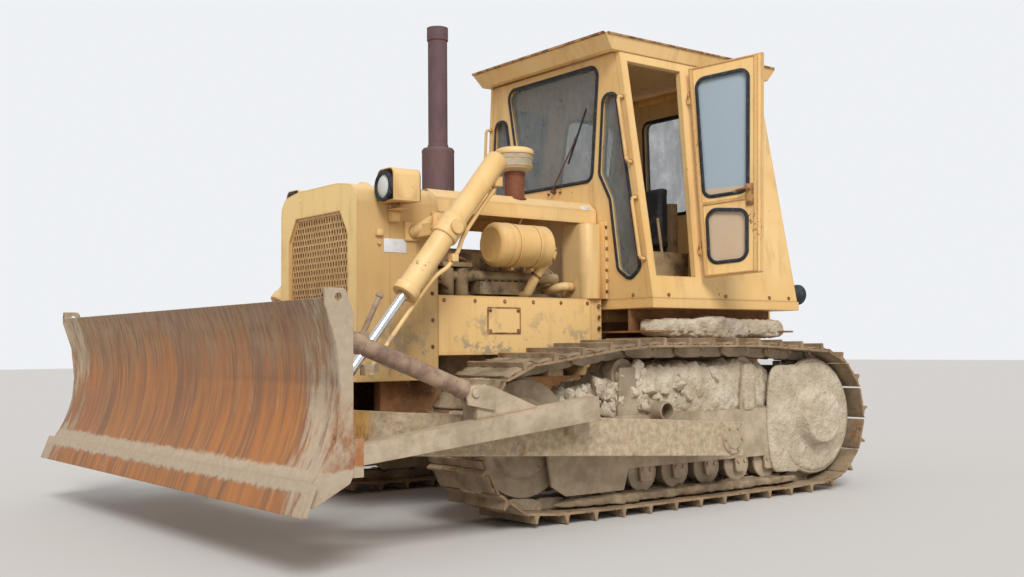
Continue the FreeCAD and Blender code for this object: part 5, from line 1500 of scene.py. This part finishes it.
def air_cleaner():
    """Drum with its cap, clamp bands and the elbow that leads down to the engine."""
    y, z = 0.450, 1.550
    rear_x = 0.562 + SHIFT
    form = Form("cleaner_drum")
    form.lathe((rear_x - 0.026, y, z), (1, 0, 0),
               [(0, 0.090), (0.004, 0.100), (0.022, 0.118), (0.030, 0.128), (0.298, 0.128), (0.299, 0.132),
                (0.304, 0.133), (0.328, 0.133), (0.332, 0.1285), (0.336, 0.1285), (0.338, 0.132),
                (0.392, 0.132),
                (0.404, 0.127), (0.416, 0.112), (0.419, 0.098), (0.416, 0.095), (0.416, 0.002)], 56)
    for spot in (0.09, 0.24):
        form.lathe((rear_x + spot, y, z), (1, 0, 0),
                   [(0, 0.128), (0.001, 0.1305), (0.018, 0.1305), (0.019, 0.128)], 56)
        form.block((rear_x + spot - 0.002, y - 0.022, z - 0.150),
                   (rear_x + spot + 0.020, y + 0.022, z - 0.122))
    form.block(at(0.640, 0.120, 1.440), at(0.700, 0.420, 1.452))
    form.block(at(0.640, 0.330, 1.440), at(0.700, 0.342, 1.500))
    drum = add_piece("cleaner_drum", form.mesh(bevel=0.0008), paint)
    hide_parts("air_cleaner")
    elbows = Form("cleaner_elbow")
    route = curve(at(0.500, y, 1.555), at(0.482, y, 1.530), at(0.505, y, 1.480),
                  at(0.560, y - 0.01, 1.425), at(0.600, y - 0.03, 1.360), at(0.615, y - 0.06, 1.300),
                  at(0.618, y - 0.10, 1.262), at(0.618, 0.2305, 1.250))
    elbows.pipe(route, 0.030, 20)
    elbows.lathe(at(0.545, y, 1.560), (-1, 0, 0), [(0, 0.050), (0.030, 0.044), (0.050, 0.034)], 24)
    elbows.pipe(curve(at(0.330, 0.200, 1.300), at(0.330, 0.28, 1.310), at(0.300, 0.335, 1.320),
                      at(0.255, 0.340, 1.322), at(0.215, 0.340, 1.322)), 0.030, 18)
    add_piece("cleaner_elbow", elbows.mesh(), hose_paint)
    clamps = Form("elbow_clamps")
    for start, way, radius in ((at(0.500, y, 1.487), (0.75, 0, -0.66), 0.035),
                               (at(0.590, y - 0.024, 1.383), (0.5, -0.3, -0.8), 0.034),
                               (at(0.245, 0.340, 1.322), (-1, 0, 0), 0.034)):
        clamps.lathe(start, way,
                     [(0, radius - 0.006), (0.001, radius), (0.016, radius), (0.017, radius - 0.006)], 24)
    add_piece("elbow_clamps", clamps.mesh(), rusty_trim)


def intake():
    """Rusty pipe, pale bowl with two bands and a lid over the hood."""
    x, y = 0.655 + SHIFT, 0.300
    pipe = Form("intake_pipe")
    pipe.lathe((x, y, 1.850), (0, 0, 1),
               [(0, 0.074), (0.008, 0.074), (0.010, 0.062), (0.150, 0.062), (0.151, 0.066),
                (0.165, 0.066), (0.166, 0.060), (0.178, 0.062)], 40)
    add_piece("intake_pipe", pipe.mesh(), red_pipe)
    bowl = Form("intake_bowl")
    bowl.lathe((x, y, 2.020), (0, 0, 1),
               [(0, 0.060), (0.006, 0.084), (0.018, 0.108), (0.030, 0.112), (0.112, 0.114)], 48)
    add_piece("intake_bowl", bowl.mesh(), bowl_plastic)
    lid = Form("intake_lid")
    lid.lathe((x, y, 2.128), (0, 0, 1),
              [(0, 0.110), (0.001, 0.118), (0.010, 0.120), (0.024, 0.119), (0.034, 0.111),
               (0.042, 0.090), (0.045, 0.060), (0.046, 0.018), (0.056, 0.016), (0.058, 0.010)], 48)
    for height in (2.052, 2.100):
        lid.lathe((x, y, height), (0, 0, 1), [(0, 0.1125), (0.001, 0.116), (0.007, 0.116), (0.008, 0.1125)],
                  48)
    add_piece("intake_lid", lid.mesh(), paint)


def exhaust():
    """Muffler with end seams and a stack with its collar."""
    x = 1.020 + SHIFT
    form = Form("exhaust_stack")
    form.lathe((x, 0, 1.858), (0, 0, 1),
               [(0, 0.066), (0.010, 0.066), (0.012, 0.094), (0.020, 0.100), (0.030, 0.102), (0.040, 0.100),
                (0.286, 0.100), (0.296, 0.102), (0.306, 0.100), (0.316, 0.092), (0.320, 0.066),
                (0.340, 0.063),
                (0.342, 0.060), (0.700, 0.060), (0.990, 0.060), (0.992, 0.066), (1.072, 0.066),
                (1.072, 0.058),
                (0.980, 0.056)], 48)
    stack = add_piece("exhaust_stack", form.mesh(), pipe_rust)
    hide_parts("exhaust")


def tank_fittings():
    """Filler cap, and the strip between tank and cab."""
    cap = Form("tank_cap")
    cap.lathe(at(0.150, 0.362, 1.718), (0, 0, 1), [(0, 0.030), (0.090, 0.030), (0.092, 0.042), (0.112, 0.042),
                                                   (0.118, 0.034)], 24)
    add_piece("tank_cap", cap.mesh(), white_plate)
    strip = Form("tank_strip")
    strip.block(at(0.048, 0.430, 1.244), at(0.074, 0.482, 1.745))
    add_piece("tank_strip", strip.mesh(bevel=0.002), paint)


air_cleaner()
intake()
exhaust()
tank_fittings()


def engine_side():
    """Covers, ports, manifold, pump and filters along the engine's open side."""
    form = Form("engine_side")
    for start in (0.310, 0.770):
        form.plate([at(start, y, z) for y,
                    z in ((-0.12, 1.440), (0.155, 1.440), (0.155, 1.520), (0.120, 1.548),
                          (-0.12, 1.548))], (0.400, 0, 0))
        for step in (0.04, 0.20, 0.36):
            form.lathe(at(start + step, 0.150, 1.490), (0, 1, 0), [(0, 0.014), (0.018, 0.012)], 6)
    for i in range(6):
        x = 0.345 + 0.150 * i + SHIFT
        form.block((x, 0.185, 1.345), (x + 0.075, 0.262, 1.400))
        form.lathe((x + 0.038, 0.205, 1.405), (0, 0.25, 1), [(0, 0.014), (0.045, 0.014), (0.047, 0.009)], 8)
        form.pipe(curve((x + 0.038, 0.216, 1.450), (x + 0.030, 0.260, 1.440), (x + 0.010, 0.300, 1.380),
                        at(0.640 + 0.045 * i, 0.300, 1.345)), 0.0045, 6)
    form.rod(at(0.320, 0.285, 1.372), at(1.220, 0.285, 1.372), 0.033, 16)
    form.block(at(0.600, 0.230, 1.262), at(0.950, 0.330, 1.340))
    for step in range(6):
        form.lathe(at(0.635 + 0.050 * step, 0.300, 1.338), (0, 0, 1), [(0, 0.013), (0.020, 0.011)], 6)
    for x in (1.060, 1.165):
        form.lathe(at(x, 0.292, 1.240), (0, 0, 1),
                   [(0, 0.040), (0.006, 0.044), (0.170, 0.044), (0.178, 0.030),
                    (0.190, 0.012)], 24)
    form.block(at(1.010, 0.200, 1.420), at(1.215, 0.336, 1.446))
    form.block(at(0.260, 0.225, 1.236), at(1.290, 0.262, 1.258))
    add_piece("engine_side", form.mesh(bevel=0.0025), iron)
    lines = Form("engine_lines")
    lines.pipe(curve(at(1.110, 0.300, 1.440), at(1.080, 0.310, 1.475), at(0.980, 0.290, 1.430),
                     at(0.930, 0.290, 1.330)), 0.008, 8)
    lines.pipe(curve(at(1.290, 0.240, 1.300), at(1.240, 0.300, 1.330), at(1.190, 0.330, 1.300),
                     at(1.165, 0.300, 1.260)), 0.011, 10)
    add_piece("engine_lines", lines.mesh(), rusty_trim)


def hatch_frame():
    """Dark seam and corner bolts of the hatch in each side panel."""
    seam = Form("hatch_seam")
    y = 0.4535
    outer = [(0.738, 1.023), (0.983, 1.023), (0.983, 1.179), (0.738, 1.179)]
    inner = [(0.745, 1.030), (0.976, 1.030), (0.976, 1.172), (0.745, 1.172)]
    seam.frame(flat(outer, y), flat(inner, y), (0, 0.0018, 0))
    for x, z in ((0.757, 1.160), (0.964, 1.160), (0.757, 1.042), (0.964, 1.042)):
        seam.lathe(at(x, y, z), (0, 1, 0), [(0, 0.011), (0.006, 0.010), (0.008, 0.005)], 8)
    seam.mirror()
    add_piece("hatch_seam", seam.mesh(), rusty_trim)


def bolt_rows():
    """Small bolt heads on the panels, the tank's post, the cab's band and the roof's edge."""
    spots = []

    def row(start, end, count, turn):
        for i in range(count):
            share = i / max(1, count - 1)
            place = Vector(start).lerp(Vector(end), share)
            spots.append((at(*place), turn, SAME))

    left, right, ahead = (-math.pi / 2, 0, 0), (math.pi / 2, 0, 0), (0, math.pi / 2, 0)
    for side, turn in ((1, left), (-1, right)):
        row((0.200, 0.4505 * side, 1.215), (1.290, 0.4505 * side, 1.215), 6, turn)
        row((1.370, 0.4505 * side, 0.800), (1.370, 0.4505 * side, 1.700), 7, turn)
        row((0.104, 0.4535 * side, 1.060), (0.104, 0.4535 * side, 1.200), 3, turn)
    row((0.061, 0.482, 1.290), (0.061, 0.482, 1.700), 7, left)
    for x in (-1.25, -1.05, -0.62, -0.10):
        row((x, 0.868, 1.258), (x, 0.868, 1.258), 1, left)
        row((x, -0.868, 1.258), (x, -0.868, 1.258), 1, right)
    for y in (-0.70, -0.35, 0.35, 0.70):
        row((0.040, y, 1.262), (0.040, y, 1.262), 1, ahead)
    head = Form("bolt_head")
    head.lathe((0, 0, -0.002), (0, 0, 1), [(0, 0.013), (0.0035, 0.013), (0.004, 0.009), (0.010, 0.0085)], 6)
    repeat("bolt_rows", head.mesh(), spots, rusty_trim, jitter=(0, 0, 0.5))


def yoke_arms():
    """Cast arms with rusty ends that hold the cylinders' trunnions beside the nose."""
    arm = Form("yoke_arm")
    arm.pipe(curve(at(1.500, 0.440, 1.590), at(1.490, 0.490, 1.600), at(1.455, 0.560, 1.640),
                   at(1.430, 0.628, 1.662)), 0.036, 16, 0.030)
    arm.block(at(1.450, 0.4485, 1.540), at(1.560, 0.462, 1.650))
    arm.mirror()
    add_piece("yoke_arm", arm.mesh(bevel=0.003), paint)
    end = Form("yoke_end")
    end.lathe(at(1.437, 0.632, 1.593), (0, -1, 0),
              [(0, 0.050), (0.004, 0.054), (0.030, 0.054), (0.034, 0.048)], 24)
    end.mirror()
    add_piece("yoke_end", end.mesh(), rusty_trim)


engine_side()
hatch_frame()
bolt_rows()
yoke_arms()


# Work gear: struts, braces and pin caps.

def strut_arms():
    """Lower arms with their gussets and lugs, their rear ends cut upright."""
    form = Form("strut_arm")
    form.plate([at(x, 1.400, z) for x, z in ((2.560, 0.420), (2.560, 0.510), (1.052, 0.690), (1.040, 0.568))],
               (0, 0.090, 0))
    form.plate([at(x, 1.430, z) for x, z in ((1.416, 0.620), (1.434, 0.652), (1.700, 0.756), (1.722, 0.760),
                                             (1.800, 0.752), (1.800, 0.560))], (0, 0.030, 0))
    form.block(at(1.045, 1.334, 0.490), at(1.150, 1.405, 0.676))
    form.block(at(2.470, 1.398, 0.400), at(2.560, 1.404, 0.525))
    form.lathe(at(2.520, 1.490, 0.465), (0, 1, 0),
               [(0, 0.034), (0.006, 0.034), (0.008, 0.022), (0.016, 0.020)], 24)
    form.mirror()
    arms = add_piece("strut_arms", form.mesh(bevel=0.005), frame_earth, "push_body")
    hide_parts("struts")


def screw_braces():
    """Tubes with their collars, screws, clevises and turning handles."""
    low, high = at(1.818, 1.445, 0.727), at(2.560, 1.445, 1.010)
    run = high - low
    form = Form("brace_tube")
    length = run.length
    form.lathe(low, run,
               [(0, 0.020), (0.002, 0.026), (0.040, 0.026), (0.042, 0.040), (0.050, 0.047), (0.085, 0.047),
                (0.090, 0.042), (length - 0.150, 0.042), (length - 0.146, 0.047), (length - 0.100, 0.047),
                (length - 0.096, 0.040), (length - 0.090, 0.026), (length, 0.026)], 32)
    middle = low.lerp(high, 0.80)
    form.block(middle - Vector((0.022, 0.020, -0.030)), middle + Vector((0.022, 0.020, 0.062)))
    form.rod(middle + Vector((0, 0, 0.050)), middle + Vector((-0.090, 0, 0.225)), 0.0125, 12)
    form.lathe(middle + Vector((-0.084, 0, 0.214)), (-0.45, 0, 0.89),
               [(0, 0.0125), (0.004, 0.018), (0.018, 0.018),
                (0.022, 0.013)], 14)
    form.mirror()
    tube = add_piece("brace_tubes", form.mesh(bevel=0.001), tube_rust, "push_body")
    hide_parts("braces")
    ends = Form("brace_ends")
    for y in (1.4157, 1.4603):
        ends.plate([at(x, y, z) for x, z in ((1.700, 0.640), (1.860, 0.672), (1.872, 0.735), (1.840, 0.762),
                                             (1.760, 0.768), (1.700, 0.740))], (0, 0.014, 0))
    for y in (1.424, 1.460):
        ends.plate([at(x, y, z) for x, z in ((2.535, 0.940), (2.610, 0.920), (2.630, 1.060), (2.560, 1.068),
                                             (2.535, 1.040))], (0, 0.016, 0))
    ends.lathe(at(1.818, 1.402, 0.727), (0, 1, 0),
               [(0, 0.018), (0.002, 0.022), (0.082, 0.022), (0.084, 0.018)], 20)
    ends.lathe(at(2.560, 1.412, 1.010), (0, 1, 0),
               [(0, 0.018), (0.002, 0.022), (0.074, 0.022), (0.076, 0.018)], 20)
    ends.block(at(1.700, 1.330, 0.560), at(1.790, 1.432, 0.700))
    ends.mirror()
    add_piece("brace_ends", ends.mesh(bevel=0.003), frame_earth, "push_body")


def pivot_caps():
    """Bolted caps over the push frame's rear pivots."""
    form = Form("pivot_cap")
    centre = at(PIVOT[0], 1.334, PIVOT[1])
    form.lathe(centre, (0, 1, 0), [(0, 0.086), (0.010, 0.084), (0.012, 0.060), (0.018, 0.056)], 36)
    for i in range(6):
        angle = math.tau * i / 6
        form.lathe(centre + Vector((math.cos(angle) * 0.070, 0.010, math.sin(angle) * 0.070)), (0, 1, 0),
                   [(0, 0.010), (0.009, 0.009)], 6)
    form.mirror()
    add_piece("pivot_caps", form.mesh(bevel=0.001), frame_earth, "push_body")


strut_arms()
screw_braces()
pivot_caps()


# Seat.

CUSHION_STEPS = 20  # frames of simulation
CUSHION_SWELL = 0.012  # how far a point may move
CUSHION_CROWN = 0.006


def stuffed(name, low, high, faces):
    """A cushion between two corners, swollen by pressure and held in its box.

    Faces are the two axes along its broad side.
    """
    low, high = at(*low), at(*high)
    inset = Vector((0.010, 0.010, 0.008))
    form = Form(name)
    form.block(low + inset, high - inset)
    item = bpy.data.objects.new(name, form.mesh(bevel=0.022, segments=4))
    bpy.context.scene.collection.objects.link(item)
    even = item.modifiers.new("even", "REMESH")
    even.mode = "VOXEL"
    even.voxel_size = 0.006

    def settle():
        shape = item.evaluated_get(bpy.context.evaluated_depsgraph_get())
        made = bpy.data.meshes.new_from_object(shape)
        item.modifiers.clear()
        item.data = made
        return made

    start = [vert.co.copy() for vert in settle().vertices]
    cloth = item.modifiers.new("stuffing", "CLOTH")
    cloth.settings.use_pressure = True
    cloth.settings.uniform_pressure_force = 4
    cloth.settings.effector_weights.gravity = 0
    for step in range(1, CUSHION_STEPS + 1):
        bpy.context.scene.frame_set(step)
    settle()
    bpy.context.scene.frame_set(1)
    middle = (low + high) / 2
    for vert, before in zip(item.data.vertices, start):
        move = vert.co - before
        if move.length > CUSHION_SWELL:
            move *= CUSHION_SWELL / move.length
        spot = before + move
        u, v = ((spot[i] - middle[i]) / (high[i] - low[i]) * 2 for i in faces)
        pull = CUSHION_CROWN * (1 - u * u) * (1 - v * v)
        spot += (spot - middle).normalized() * pull
        for i in range(3):
            spot[i] = min(high[i], max(low[i], spot[i]))
        vert.co = spot
    smooth = item.modifiers.new("smooth", "SUBSURF")
    smooth.levels = 1
    smooth.render_levels = 1
    item.data.materials.clear()
    item.data.materials.append(covering)
    item.data.shade_smooth()
    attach(item, "tractor")
    return item


bottom = stuffed("seat_bottom", (-0.740, -0.250, 1.4973), (-0.330, 0.250, 1.600), (0, 1))
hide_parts("seat_cushion")
stuffed("seat_back", (-0.7797, -0.240, 1.610), (-0.690, 0.240, 2.060), (1, 2))


# Lift cylinders.

CYLINDER_Y = 0.720
TRUNNION = at(1.437, 0, 1.593)
EYE = at(2.220, 0, 0.620)


def cube(form, middle, half):
    """A cube about its middle."""
    corner = Vector((half, half, half))
    form.block(middle - corner, middle + corner)


def cylinders():
    """Barrels with their domed ends, glands, ports and pipes, and bright rods."""
    line = (EYE - TRUNNION).normalized()
    back = Vector((line.z, 0, -line.x)).normalized()
    if back.x > 0:
        back = -back
    for name, side in (("left", 1), ("right", -1)):
        middle = TRUNNION + Vector((0, CYLINDER_Y * side, 0))
        barrel = Form("barrel")
        barrel.lathe(middle - line * 0.548, line,
                     [(0, 0.030), (0.004, 0.046), (0.016, 0.058), (0.034, 0.0625), (0.480, 0.0625),
                      (0.484, 0.072),
                      (0.492, 0.0745), (0.604, 0.0745), (0.612, 0.072), (0.616, 0.0625), (0.966, 0.0625),
                      (0.968, 0.070),
                      (0.972, 0.0715), (1.014, 0.0715), (1.020, 0.068), (1.021, 0.040), (1.012, 0.030)], 48)
        for way in (1, -1):
            barrel.lathe(middle + Vector((0, 0.086 * way, 0)), (0, -way, 0),
                         [(0, 0.034), (0.004, 0.038), (0.030, 0.038)],
                         28)
        cube(barrel, middle - line * 0.40 + back * 0.066, 0.02)
        made = add_piece(f"barrel_body_{name}", barrel.mesh(bevel=0.0008), paint, f"barrel_{name}")
        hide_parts(f"cyl_barrel_{name}")
        pipe = Form("barrel_pipe")
        far = back * 0.090
        pipe.pipe(curve(middle - line * 0.40 + back * 0.070, middle - line * 0.375 + far,
                        middle - line * 0.33 + far,
                        middle - line * 0.12 + far, middle - line * 0.02 + back * 0.098,
                        middle + line * 0.05 + back * 0.118,
                        middle + line * 0.11 + back * 0.125), 0.0125, 12)
        pipe.pipe(curve(middle + line * 0.11 + back * 0.125, middle + line * 0.18 + back * 0.120,
                        middle + line * 0.30 + back * 0.088, middle + line * 0.60 + back * 0.082,
                        middle + line * 0.88 + back * 0.084, middle + line * 0.93 + back * 0.070), 0.0125, 12)
        for spot, reach, size in ((-0.42, 0.072, 0.028), (0.11, 0.118, 0.022), (0.92, 0.072, 0.027)):
            cube(pipe, middle + line * spot + back * reach, size)
        add_piece(f"barrel_pipe_{name}", pipe.mesh(bevel=0.001), paint, f"barrel_{name}")
        rod = Form("rod")
        eye = EYE + Vector((0, CYLINDER_Y * side, 0))
        rod.lathe(eye - line * 1.268, line, [(0, 0.024), (0.003, 0.027), (1.235, 0.027)], 36)
        made_rod = add_piece(f"rod_shaft_{name}", rod.mesh(), bright_rod, f"rod_{name}")
        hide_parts(f"cyl_rod_{name}")
        ring = Form("rod_eye")
        ring.lathe(eye - Vector((0, 0.036, 0)), (0, 1, 0),
                   [(0, 0.046), (0.003, 0.050), (0.069, 0.050), (0.072, 0.046)], 32)
        ring.lathe(eye - line * 0.075, line, [(0, 0.030), (0.010, 0.034), (0.045, 0.040)], 28)
        add_piece(f"rod_eye_{name}", ring.mesh(), mud_steel, f"rod_{name}")


cylinders()


# Ground.

def floor():
    """Plain pale ground."""
    mesh = bpy.data.meshes.new("ground")
    mesh.from_pydata([(-60, -60, 0), (60, -60, 0), (60, 60, 0), (-60, 60, 0)], [], [(0, 1, 2, 3)])
    item = bpy.data.objects.new("ground", mesh)
    bpy.context.scene.collection.objects.link(item)
    f = Finish("pale_ground", shine=0.1)
    mesh.materials.append(f.finish((0.62, 0.60, 0.57), 0.9))


floor()
